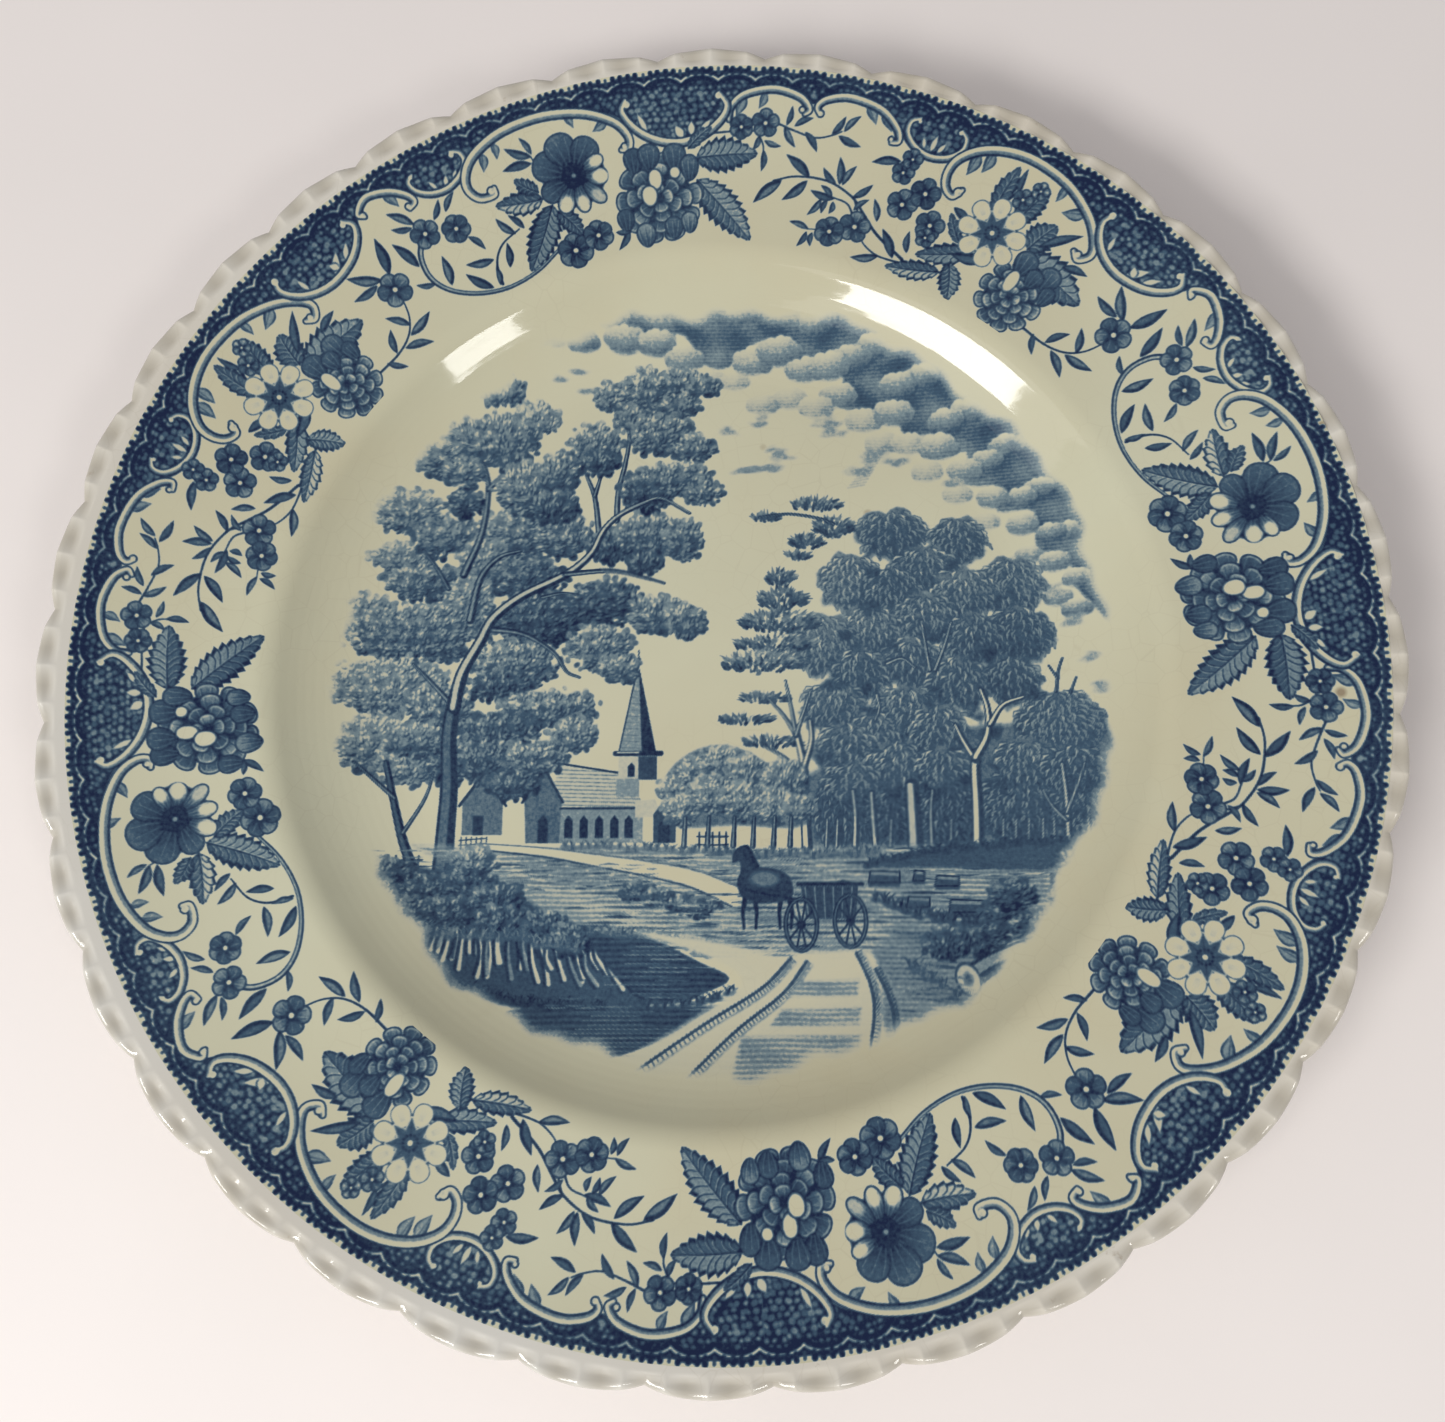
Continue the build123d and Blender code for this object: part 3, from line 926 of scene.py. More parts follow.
@dataclass(frozen=True)
class Ground:
    """The dark pebbled ground of the border, its scalloped line and its picot fringe.

    Args:
        tip: Radius of the tips of the fringe.
        scallops: Number of scallops of the white line in one repeat.
        picots: Number of picots to each scallop.
        seed: Seed of the pebbles.
    """

    tip: float
    scallops: int = 25
    picots: int = 5
    seed: int = 7

    def draw(self, sheet: BorderSheet) -> None:
        """Cut the ground, its pebbles, the scalloped line and the fringe."""
        edge = smooth(GROUND_EDGE, 6)
        edge = edge[(edge[:, 0] > -4) & (edge[:, 0] < 86.2)]
        top = np.array([(angle, self.tip - 1.0) for angle in np.arange(86.0, -4.1, -1.0)])
        sheet.fill(polars(np.vstack([edge, top])), Tone.INK + 0.02)
        self.pebbles(sheet, edge)
        self.scalloped_line(sheet)
        self.fringe(sheet)

    def pebbles(self, sheet: BorderSheet, edge: Array) -> None:
        """Scatter the light oval pebbles."""
        rng = np.random.default_rng(self.seed)
        for row, radius in enumerate(np.arange(107.8, self.tip - 2.5, 1.12)):
            count = int(math.radians(90) * radius / 1.42)
            for index in range(count):
                angle = (index + 0.5 * (row % 2) + rng.uniform(-0.3, 0.3)) * 90 / count
                spot = radius + rng.uniform(-0.26, 0.26)
                near = angle - 90 if angle > 86 else angle
                if spot < np.interp(near, edge[:, 0], edge[:, 1]) + 0.6:
                    continue
                size = rng.uniform(0.34, 0.56) * (0.75 if spot > self.tip - 4.2 else 1.0)
                turn = math.radians(-angle) + rng.uniform(-0.7, 0.7)
                sheet.dot(*polar(angle, spot), size, rng.uniform(0.36, 0.62),
                          stretch=rng.uniform(1.0, 1.45), turn=turn, soft=0.25)

    def scalloped_line(self, sheet: BorderSheet) -> None:
        """Draw the narrow white line of arcs over its dark band, worn faint here and there."""
        rng = np.random.default_rng(self.seed + 1)
        step = 90 / self.scallops
        share = np.linspace(-0.5, 0.5, 13)
        paths = []
        for index in range(-1, self.scallops + 1):
            radii = self.tip - 1.5 - 1.15 * np.abs(2 * share) ** 2.6
            paths.append(polars(np.stack([(index + 0.5 + share) * step + 0.1, radii], axis=1)))
        for path in paths:
            sheet.stroke(shifted(path, -0.7), 0.9, Tone.INK + 0.06, 0.9, soft=0.3)
            sheet.stroke(shifted(path, 0.55), 0.8, Tone.INK + 0.06, 0.9, soft=0.3)
        for path in paths:
            sheet.stroke(path, 0.42, Tone.HAZE * rng.uniform(0.1, 2.0), 0.92, soft=0.2)

    def fringe(self, sheet: BorderSheet) -> None:
        """Draw the row of rounded picots, with a paler one at the foot of each scallop."""
        rng = np.random.default_rng(self.seed + 2)
        count = self.scallops * self.picots
        foot = polars([(angle, self.tip - 1.3) for angle in np.arange(-1.0, 91.1, 0.3)])
        sheet.stroke(foot, 0.42, Tone.INK, 0.9)
        for index in range(-1, count + 1):
            angle = index * 90 / count + 0.1 + rng.uniform(-0.05, 0.05)
            reach = self.tip - 0.5 + rng.uniform(-0.14, 0.1)
            pale = index % self.picots == 0
            path = polars([(angle, self.tip - 1.5), (angle, reach)])
            sheet.stroke(path, 0.5 if pale else 0.78, Tone.DEEP if pale else Tone.INK, soft=0.2)
            sheet.dot(*polar(angle, reach - 0.06), 0.28 if pale else 0.5 + rng.uniform(-0.04, 0.05),
                      Tone.DEEP if pale else Tone.INK + 0.05, soft=0.2)


@dataclass(frozen=True)
class Border:
    """The whole drawing of one repeat of the border."""

    def draw(self, sheet: BorderSheet, tip: float) -> None:
        """Cut the repeat into a sheet.

        Args:
            sheet: The sheet of the repeat.
            tip: Radius of the tips of the fringe.
        """
        Ground(tip).draw(sheet)
        for base, point, width in ACANTHUS:
            sheet.fill(lens(polar(*base), polar(*point), width + 0.5), Tone.INK)
            sheet.fill(lens(polar(*base), polar(*point), width), Tone.HAZE * 0.6, soft=0.25)
        for sprig in (LEFT_TENDRIL, UPPER_SPRIG, RIGHT_SPRIG, TENDRIL, TOP_LEAVES):
            sprig.draw(sheet)
        for scroll in SCROLLS:
            scroll.draw(sheet)
        Bouquets().draw(sheet)


# ---- the scene's design
class Light(Enum):
    """How a clump of leaves is lit."""

    BRIGHT = 0.26
    MIXED = 0.38
    SHADED = 0.56


@dataclass(frozen=True)
class Mass:
    """A rounded mass of leaves.

    Args:
        x: Its middle, across.
        y: Its middle, up.
        wide: Half its width.
        tall: Half its height.
    """

    x: float
    y: float
    wide: float
    tall: float

    def height(self, y: Array) -> Array:
        """Return how high a point lies in the mass, from -1.1 at its foot to 1.1 at its top."""
        return np.clip((y - self.y) / self.tall, -1.1, 1.1)

    def ring(self, count: int, lobes: int, swell: float, rough: float, rng: np.random.Generator) -> Array:
        """Return the mass's lobed and ragged outline, about its own middle."""
        turns = np.linspace(0, 2 * math.pi, count, endpoint=False)
        reach = 1 + swell * np.sin(turns * lobes + rng.uniform(0, 6)) + rng.normal(0, rough, count)
        return np.stack([self.wide * reach * np.cos(turns), self.tall * reach * np.sin(turns)], axis=1)


@dataclass(frozen=True)
class Clump(Mass):
    """A rounded mass of leaves, light on its upper left and dark below.

    Args:
        light: How it is lit.
        grain: Size of its leaves.
    """

    light: Light = Light.MIXED
    grain: float = 1.0

    def shade(self, x: Array, y: Array) -> Array:
        """Give the tone of the mass at a point, lighter towards its upper left."""
        aside = np.clip((x - self.x) / self.wide, -1.1, 1.1)
        wave = 0.08 * np.sin(1.9 * x + 1.3 * np.sin(1.1 * y)) + 0.07 * np.sin(2.3 * y + self.x)
        return np.clip(self.light.value + 0.2 - 0.2 * self.height(y) + 0.08 * aside + wave, 0.2, 0.98)

    def draw(self, sheet: Sheet, rng: np.random.Generator) -> None:
        """Cut the clump into a sheet: its ragged mass, then dark and sunlit leaves."""
        ring = self.ring(40, 5, 0.12, 0.08, rng)
        sheet.fill((self.x, self.y) + ring * 0.9, self.shade, 0.95, soft=0.7)
        for _ in range(int((self.wide + self.tall) * 3.4)):
            turn = rng.uniform(0, 2 * math.pi)
            reach = rng.uniform(0.84, 1.14)
            x = self.x + self.wide * reach * math.cos(turn)
            y = self.y + self.tall * reach * math.sin(turn)
            sheet.dot(x, y, rng.uniform(0.4, 0.75) * self.grain, self.shade, stretch=1.3,
                      turn=rng.uniform(0, 3.1), cover=0.9, soft=0.3)
        for _ in range(int(self.wide * self.tall * 4.6 / self.grain**2)):
            reach = math.sqrt(rng.random())
            turn = rng.uniform(0, 2 * math.pi)
            aside, up = reach * math.cos(turn), reach * math.sin(turn)
            x, y = self.x + aside * self.wide, self.y + up * self.tall
            here = float(self.shade(np.array(x), np.array(y)))
            lean = math.atan2(up + 0.6, aside) + rng.normal(0, 0.5)
            size = rng.uniform(0.2, 0.32) * self.grain
            shadow, sunlit = min(here + 0.24, 1.0), max(here - rng.uniform(0.18, 0.46), 0.06)
            sheet.dot(x + 0.18, y - 0.22, size * 1.15, shadow, stretch=1.6, turn=lean, cover=0.75, soft=0.2)
            sheet.dot(x, y, size, sunlit, stretch=1.7, turn=lean, cover=0.8, soft=0.2)


@dataclass(frozen=True)
class Crown(Mass):
    """A round head of a broad leaved tree, hung with drooping blades of leaf.

    Args:
        tone: The tone of its mass.
    """

    tone: float = 0.5

    def shade(self, x: Array, y: Array) -> Array:
        """Give the tone of the mass at a point, darker towards its foot."""
        wave = 0.04 * np.sin(1.7 * x + 2.1 * y)
        return np.clip(self.tone + 0.1 - 0.1 * self.height(y) + wave, 0.2, 0.95)

    def draw(self, sheet: Sheet, rng: np.random.Generator) -> None:
        """Cut the crown into a sheet: a shadow at its foot, its mass, then row upon row of blades."""
        ring = self.ring(36, 7, 0.08, 0.06, rng)
        sheet.fill((self.x, self.y) + ring * 1.02 - [0, 0.9], Tone.DEEP, 0.8, soft=1.4)
        sheet.fill((self.x, self.y) + ring * 0.97, self.shade, 0.96, soft=0.6)
        spots = []
        for up in np.arange(1.0, -1.02, -1.15 / self.tall):
            for aside in np.arange(-1.0, 1.01, 1.2 / self.wide):
                spot = (aside + rng.normal(0, 0.3) / self.wide, up + rng.normal(0, 0.25) / self.tall)
                if math.hypot(*spot) < 0.97:
                    spots.append(spot)
        for aside, up in sorted(spots, key=lambda spot: spot[1]):
            x, y = self.x + aside * self.wide, self.y + up * self.tall
            lean = math.atan2(up - 1.25, aside * 1.25) + rng.normal(0, 0.22)
            length = rng.uniform(1.3, 2.2)
            side = length * 0.16 * (1 if aside > 0 else -1)
            bend = (x + 0.5 * length * math.cos(lean) + side, y + 0.5 * length * math.sin(lean) + 0.2)
            blade = ((x, y), bend, spoke((x, y), length, lean))
            lit = self.tone - 0.2 - 0.14 * (up - 0.5 * aside) + rng.normal(0, 0.08)
            sheet.stroke(blade, (0.6, 0.95, 0.5), self.tone + 0.2, 0.75, soft=0.2)
            sheet.stroke(blade, (0.16, 0.5, 0.14), float(np.clip(lit, 0.06, 0.7)), 0.9, soft=0.2)


@dataclass(frozen=True)
class Fir(Mass):
    """A level spray of dark needles, as on the pine in front of the grove."""

    def draw(self, sheet: Sheet, rng: np.random.Generator) -> None:
        """Cut the spray into a sheet."""
        for _ in range(int(self.wide * self.tall * 14) + 16):
            aside, up = rng.uniform(-1, 1), rng.uniform(-1, 1)
            x, y = self.x + aside * self.wide, self.y + up * self.tall * (1.1 - 0.6 * abs(aside))
            lean = math.radians(78 - 62 * aside + rng.normal(0, 16))
            length = rng.uniform(0.8, 1.5)
            tip = (x + length * math.cos(lean), y + length * math.sin(lean) * 0.8)
            tone = float(np.clip(0.62 - 0.16 * up + rng.normal(0, 0.14), 0.25, 0.95))
            sheet.stroke(((x, y), tip), (0.55, 0.18), tone, 0.9, soft=0.2)


@dataclass(frozen=True)
class Bough:
    """A trunk or branch, dark on its right and light along its left.

    Args:
        points: The points along it.
        thick: Its width at its root.
        thin: Its width at its end.
        tone: The tone of its shaded side.
        lit: The tone of its lit side.
    """

    points: tuple[Point, ...]
    thick: float
    thin: float
    tone: float = Tone.INK
    lit: float = Tone.PALE

    def draw(self, sheet: Sheet) -> None:
        """Cut the bough into a sheet."""
        path = smooth(self.points, 6)
        widths = np.linspace(self.thick, self.thin, len(path))
        sheet.stroke(path, widths + 0.2, self.tone)
        side = 1 if path[-1, 1] > path[0, 1] else -1
        sheet.stroke(shifted(path, side * widths * 0.14), widths * 0.48, self.lit, soft=0.2)


@dataclass(frozen=True)
class Hatch:
    """Level strokes that shade ground or water.

    Args:
        left: Left end.
        right: Right end.
        low: Lowest stroke.
        high: Highest stroke.
        tone: Mean tone of the strokes.
        gap: Distance between strokes.
        length: Mean length of each stroke.
        slope: Rise of the strokes for each unit across.
        weight: Width of each stroke.
    """

    left: float
    right: float
    low: float
    high: float
    tone: float = Tone.MID
    gap: float = 0.85
    length: float = 5.0
    slope: float = 0.0
    weight: float = 0.36

    def draw(self, sheet: Sheet, rng: np.random.Generator) -> None:
        """Cut the strokes into a sheet."""
        for y in np.arange(self.low, self.high, self.gap):
            x = self.left + rng.uniform(0, self.length)
            while x < self.right:
                run = rng.uniform(0.5, 1.4) * self.length
                end = min(x + run, self.right)
                rise = y + rng.normal(0, self.gap * 0.22)
                climb = self.slope * (end - x)
                middle = ((x + end) / 2, rise + rng.normal(0, 0.15) + climb / 2)
                path = ((x, rise), middle, (end, rise + climb))
                widths = (0.12, self.weight * rng.uniform(0.7, 1.3), 0.1)
                sheet.stroke(path, widths, float(np.clip(self.tone + rng.normal(0, 0.12), 0.2, 1)), 0.9)
                x = end + rng.uniform(0.1, 0.5) * self.length


@dataclass(frozen=True)
class Tufts:
    """A row of grass or low shrub, tuft by tuft.

    Args:
        points: The line the tufts stand on.
        height: Their height.
        gap: Distance from tuft to tuft.
        tone: Their tone.
    """

    points: tuple[Point, ...]
    height: float = 2.0
    gap: float = 1.3
    tone: float = Tone.DEEP

    def draw(self, sheet: Sheet, rng: np.random.Generator) -> None:
        """Cut the row into a sheet."""
        line = np.array(self.points, float)
        lengths = np.concatenate([[0], np.cumsum(np.hypot(*np.diff(line, axis=0).T))])
        for place in np.arange(0, lengths[-1], self.gap):
            x = np.interp(place, lengths, line[:, 0]) + rng.normal(0, 0.2)
            y = np.interp(place, lengths, line[:, 1]) + rng.normal(0, 0.25)
            for blade in range(5):
                lean = (blade - 2) * 0.33 + rng.normal(0, 0.12)
                reach = self.height * rng.uniform(0.6, 1.1)
                path = ((x, y), (x + lean * reach * 0.35, y + reach * 0.62), (x + lean * reach, y + reach))
                tone = float(np.clip(self.tone + rng.normal(0, 0.12), 0.25, 1))
                sheet.stroke(path, (0.5, 0.36, 0.1), tone, 0.9)
            sheet.dot(x, y, 0.6, self.tone, stretch=1.6, cover=0.7, soft=0.4)


OAK_BACK: tuple[Clump, ...] = tuple(Clump(*row) for row in (
    (-63.4, 34.4, 7.4, 4.4, Light.BRIGHT), (-64.4, 25, 6, 2.8, Light.BRIGHT), (-59.4, 20, 8.6, 3.6),
    (-54, 29.4, 8.2, 4.2), (-52, 36.6, 3.4, 2.8, Light.SHADED), (-41.2, 30, 6.8, 6.2),
    (-48, 24, 5, 5, Light.BRIGHT), (-51, 16, 5, 5, Light.BRIGHT), (-32, 29.6, 6.2, 4.6),
    (-38.4, 20, 6.8, 4.6, Light.SHADED), (-70.6, 13, 5, 4, Light.BRIGHT),
    (-60.6, 9.2, 14.4, 6, Light.MIXED), (-66, -1.4, 11.4, 5.8, Light.BRIGHT), (-56, -6, 7, 4.6),
    (-36.4, 12, 9, 5.2, Light.SHADED), (-69, -13, 7.4, 5.6, Light.BRIGHT),
    (-60.6, -17, 8, 4.6, Light.BRIGHT),
))

OAK_FRONT: tuple[Clump, ...] = tuple(Clump(*row) for row in (
    (-45, 60.2, 4.6, 3.2), (-50.4, 49.6, 5.6, 4.4), (-44, 50.4, 6.4, 5.6),
    (-37.6, 54.6, 4.4, 3.6, Light.BRIGHT), (-42, 44.6, 3.4, 2.4, Light.SHADED), (-57, 45.6, 5, 3.6),
    (-52.6, 43, 4, 3), (-38.4, 39.6, 8, 5.4), (-33.4, 43.4, 4.4, 4), (-34, 35.6, 5, 3.2, Light.SHADED),
    (-25.6, 49, 5.4, 4.4), (-25, 45, 4, 2.6, Light.SHADED), (-22.6, 59.4, 3.4, 3), (-15, 60.4, 6.6, 4.8),
    (-8, 62.4, 5.6, 2.8), (-3.4, 61.4, 3, 2), (-8.4, 57.4, 4, 2.4), (-18.4, 55, 3.4, 2.4),
    (-12.6, 51, 6.6, 4.4), (-5.4, 48, 4.4, 2.8), (-15, 38.6, 5.4, 4.2, Light.SHADED),
    (-9.4, 41.4, 7.4, 3.6), (-3.4, 38.4, 3.6, 2.6), (-21.6, 27.4, 5.4, 3.6, Light.SHADED),
    (-14, 29.6, 7, 4.4), (-7.6, 28.4, 4, 4.4), (-15, 23.6, 3.4, 2.2, Light.SHADED),
    (-23, 15.4, 7, 4.8, Light.SHADED), (-12.6, 13, 6.4, 3.8), (-7, 11.4, 4, 3.4), (-24, 6, 6.4, 4.8),
    (-20, 1.6, 4, 2.6), (-41, 2.6, 8.4, 5.2), (-44, -1.6, 6, 3, Light.SHADED), (-34, -6, 9.4, 3.6),
    (-44, -10.6, 8.4, 3.6, Light.SHADED), (-29, -11.6, 4.6, 3.4), (-47, -17, 10, 4.4, Light.SHADED),
    (-36.6, -16, 6, 3.6), (-60, -12.6, 6.4, 3.4), (-41, -21.6, 5, 2.6, Light.SHADED),
))

OAK_BOUGHS: tuple[Bough, ...] = (
    Bough(((-54.2, -43), (-53.8, -32), (-53.4, -22), (-53.8, -12), (-53, -5),
        (-51.6, 1)), 3.9, 2.3, Tone.INK, Tone.MID),
    Bough(((-53, -6), (-51.8, 0.6), (-48.2, 7.5), (-45.6, 12.4), (-40, 16.9), (-31.2, 21.3),
        (-26.2, 25.6), (-23.7, 30.5), (-20.6, 33.7), (-15.6, 36.3), (-11.9, 37.2),
        (-6.2, 34)), 2.4, 0.4, Tone.INK, Tone.HAZE),
    Bough(((-24.6, 30), (-25.6, 37.5), (-27.4, 42.4)), 1.1, 0.5),
    Bough(((-25.6, 38), (-24.2, 43)), 0.8, 0.4),
    Bough(((-21, 32.6), (-20.8, 38.7), (-19.4, 45), (-18.7, 51), (-20, 54)), 1.1, 0.4),
    Bough(((-50.4, 12), (-48.6, 20.6), (-45, 25), (-40.6, 26.4)), 1.5, 0.5),
    Bough(((-52, 21.5), (-48.7, 30), (-47.6, 38.6), (-48.2, 43.6), (-50.2, 47.5)), 1.4, 0.5),
    Bough(((-47.6, 39.6), (-44, 43.4), (-41, 44.5)), 0.9, 0.4),
    Bough(((-55, 18.6), (-57.6, 23), (-60.4, 26.6)), 0.8, 0.4),
    Bough(((-31.4, 21.4), (-22, 22), (-15.6, 20.6), (-11.2, 19.3)), 0.9, 0.3),
    Bough(((-45.8, 10), (-41, 9.4), (-37.4, 8), (-33, 4.8), (-30.6, 1.2), (-28, 0)), 1.0, 0.3),
    Bough(((-36, 16.6), (-31.6, 17.4), (-27, 16.6)), 0.6, 0.3),
    Bough(((-57.4, -42.5), (-61.5, -33.5), (-64, -25), (-66, -17)), 2.0, 0.9, Tone.INK, Tone.MID),
    Bough(((-64, -24), (-68.6, -20), (-72, -17)), 0.8, 0.3),
    Bough(((-62, -31), (-58, -24), (-56.6, -19)), 0.7, 0.3),
    Bough(((-53.4, -5.4), (-57.6, -1), (-61.6, 3)), 1.0, 0.4),
    Bough(((-11.6, 37), (-8.6, 38.6), (-4.6, 38.2)), 0.6, 0.3),
)

CLOUD_BANK: tuple[Point, ...] = (
    (-37, 69), (-30, 72.4), (-25, 75.4), (-19, 73.4), (-13, 71.6), (-7.5, 72), (-3, 66), (2, 65.6),
    (6.5, 69.6), (12.5, 71), (18, 66.8), (24, 68), (25.4, 62), (24, 57.4), (29, 55), (35, 56), (38, 50),
    (44, 50), (43, 45), (50, 46), (50, 39.4), (57, 38.4), (56, 33.4), (63, 33), (63.4, 25.4), (69, 24),
    (70, 18), (73.5, 13), (79, 6), (74, 27), (66, 43), (56, 55), (42, 67), (26, 77), (6, 81), (-14, 81),
    (-28, 79),
)

CLOUD_PUFFS: tuple[Point3, ...] = (
    (5, 76.4, 2.4), (-13, 77, 2.2), (20, 73.6, 2.6), (31, 68, 2.4), (41, 61.6, 2.4), (50, 54, 2.4),
    (57.6, 46.4, 2.2), (64, 37.4, 2), (69, 28.4, 1.8), (-22, 75, 2.2), (27, 66.4, 2.6), (36.6, 60.4, 2.6),
    (46, 52.6, 2.4), (54, 44, 2.2), (60.6, 36, 2), (66, 28.6, 1.8), (70.6, 19, 1.8), (-28, 70.6, 2.2),
    (-19.6, 71, 2.8), (-13, 70.4, 2.6), (-7.6, 67.4, 2.6), (-2, 62.8, 2.2), (3, 62.6, 2),
    (6.6, 66.6, 2.8), (12.2, 68.4, 3), (17.4, 64.6, 2.6), (22.6, 65, 2.8), (24.6, 59, 2.6),
    (29.4, 53.6, 2.6), (35.6, 55, 2.8), (33, 48.6, 2.4), (38.6, 48.4, 2.4), (44.6, 47.4, 2.6),
    (42, 42.4, 2.2), (49.6, 42.4, 2.4), (48, 37.4, 2), (55, 36.4, 2.2), (53.6, 31.6, 1.8),
    (60.6, 30.6, 2.2), (62, 24.4, 1.8), (66.4, 22.6, 2), (67, 15.4, 1.8), (70.4, 13, 1.8),
    (14.4, 58.6, 2.4), (8.6, 57.4, 2.2), (19.6, 56.6, 2.4),
)

CLOUD_SHADES: tuple[tuple[float, float, float, float], ...] = (
    (8, 53.6, 2.2, 1.6), (1.6, 51.6, 1.6, 1.4), (12.8, 46.6, 3.4, 1.6), (10, 43.4, 2.6, 1),
    (6, 43, 3.6, 0.8), (22, 53, 3.2, 2.2), (23.6, 50.8, 2.4, 1.2), (31, 45.6, 2.6, 1.8),
    (28.6, 42.6, 2.4, 1.2), (36, 44.4, 3, 1), (-30, 71, 3.4, 1.4), (-33, 69.6, 2.2, 1),
    (-33, 62.8, 1.2, 0.5), (-28.4, 60.8, 1.2, 0.4), (-29, 64.4, 1.4, 0.4), (47, 39.6, 2.6, 0.9),
    (60, 23, 2.4, 1), (66, 16.4, 2.4, 1.2), (70, 10.6, 2.2, 1.2), (72.4, 3, 1.6, 1.4), (74, -3, 1.4, 1.2),
)

GROVE: tuple[Crown, ...] = tuple(Crown(*row) for row in (
    (58, -26, 8, 7, 0.56), (70, -24, 6, 8, 0.54), (44, -27, 6.6, 6, 0.58), (24, -27, 6, 6, 0.58),
    (33, -27.6, 5, 5.4, 0.6), (34.6, 29.6, 6.8, 5), (47.8, 28, 5.6, 4.8, 0.54), (41, 22, 6.6, 4.6),
    (26.4, 19.6, 6.2, 5.6, 0.44), (58, 18.6, 6.4, 5.6, 0.5), (34.4, 18, 5.4, 4.6, 0.5),
    (49, 17.4, 6.4, 4.6, 0.46), (41, 12, 6.4, 5, 0.48), (59.4, 8.6, 6.6, 5.2, 0.52),
    (30, 9.6, 5.8, 5, 0.46), (20.4, 7, 6.6, 6, 0.46), (50.4, 7.6, 6, 4.8, 0.48), (38, 3, 6, 5, 0.48),
    (28, 0.6, 5.4, 5, 0.5), (57.6, -0.6, 5.4, 4.6, 0.5), (47, -1, 6, 5, 0.46), (66, -10, 8, 7, 0.5),
    (22.4, -5.6, 6.2, 4.6, 0.46), (36.6, -7, 6.6, 5.2, 0.46), (30.4, -12, 5.4, 4.6, 0.48),
    (25, -14, 5.8, 4.6, 0.46), (43, -10.6, 5.2, 5.2, 0.44), (35, -18, 6, 5, 0.46),
    (43.4, -18.6, 4.6, 4.4, 0.46), (59.6, -17, 6, 4.4, 0.5), (68.4, -18.6, 5.6, 4.4, 0.54),
    (26, -20.6, 5.6, 3.6, 0.48),
))

GROVE_GAPS: tuple[Point3, ...] = (
    (30, 15, 2.2), (24.6, 8, 1.8), (31, 21, 1.6), (22, -1.4, 2.4), (29, -2.4, 1.8), (18, -10, 1.6),
    (53, 5, 2.2), (43.6, 8, 2), (34, 6, 1.8), (41, -4.4, 2), (52.6, -12, 2.2), (47.4, -21, 2),
    (50.6, -8, 1.8), (30, -7.4, 1.6), (62, -4.4, 1.8), (40.6, -23, 1.8), (54, -22, 2), (20, -16, 1.8),
    (34, -24, 1.8), (46.6, 22.6, 1.8),
)

FIRS: tuple[Fir, ...] = tuple(Fir(*row) for row in (
    (12.2, 20, 2.6, 2), (12.6, 15.6, 4.6, 2.2), (12, 11, 7.4, 2.4), (11, 6.4, 7.6, 1.6),
    (8.4, 2.6, 7.6, 2.2), (9, -4.6, 4.4, 1), (5, -8.8, 5, 1), (10.4, -13.4, 5.6, 1.1),
    (19.6, 35.4, 4.8, 1.4), (9.4, 32.8, 2.6, 0.9), (23, 30.6, 3.6, 2.2), (17.6, 27.6, 3, 1.6),
    (15.6, 24.6, 2.4, 0.8),
))

GROVE_TRUNKS: tuple[tuple[tuple[Point, ...], float, float, float], ...] = (
    (((16.9, -34), (16.6, -26), (16.4, -18), (15, -11)), 2.0, 1.2, Tone.BARE),
    (((16.2, -20), (13, -16.6), (8.6, -14)), 0.8, 0.4, Tone.HAZE),
    (((15, -12), (12.6, -8), (9.6, -4.6)), 0.8, 0.4, Tone.HAZE),
    (((15, -12), (14, -6), (13, -1)), 0.8, 0.4, Tone.HAZE),
    (((15, -12), (16.6, -7), (18, -3)), 0.8, 0.4, Tone.HAZE),
    (((16.6, -18), (18, -13), (17.8, -9)), 1.2, 0.7, Tone.BARE),
    (((49.8, -34), (49.9, -26), (49.8, -19), (50.2, -15.6)), 2.2, 1.8, Tone.BARE),
    (((49.9, -17), (47.6, -13), (46.2, -10)), 1.3, 0.7, Tone.BARE),
    (((50, -16.6), (52.4, -12), (52.6, -7), (51.4, -3)), 1.7, 0.8, Tone.BARE),
    (((53, -10), (55.6, -6.2), (59.6, -4.6)), 1.2, 0.6, Tone.BARE),
    (((37.8, -34.4), (37.6, -28), (37.4, -22)), 3.0, 2.6, Tone.HAZE),
    (((26.2, -33.6), (26.4, -28), (26, -23)), 1.2, 0.9, Tone.HAZE),
    (((30.2, -34), (29.8, -28), (29.6, -23.4)), 1.3, 1.0, Tone.HAZE),
    (((41, -33.8), (41, -27), (41.4, -23)), 0.9, 0.7, Tone.HAZE),
    (((66.6, -33.6), (66.8, -25), (66.4, -18)), 1.3, 0.8, Tone.HAZE),
    (((66.6, -27.6), (69, -22), (70.4, -18)), 0.7, 0.4, Tone.HAZE),
    (((66.4, -29), (64, -26), (62.6, -23)), 0.7, 0.4, Tone.HAZE),
    (((41.6, 1), (40.8, 6), (40.2, 11)), 0.8, 0.5, Tone.HAZE),
    (((42.6, 1), (44.6, 6), (46, 10.6)), 0.8, 0.5, Tone.HAZE),
    (((33, 2.4), (36, 3.4), (38.6, 1.6)), 0.7, 0.4, Tone.HAZE),
    (((31, -4), (31.4, -6.6), (30.6, -9)), 0.8, 0.4, Tone.HAZE),
)

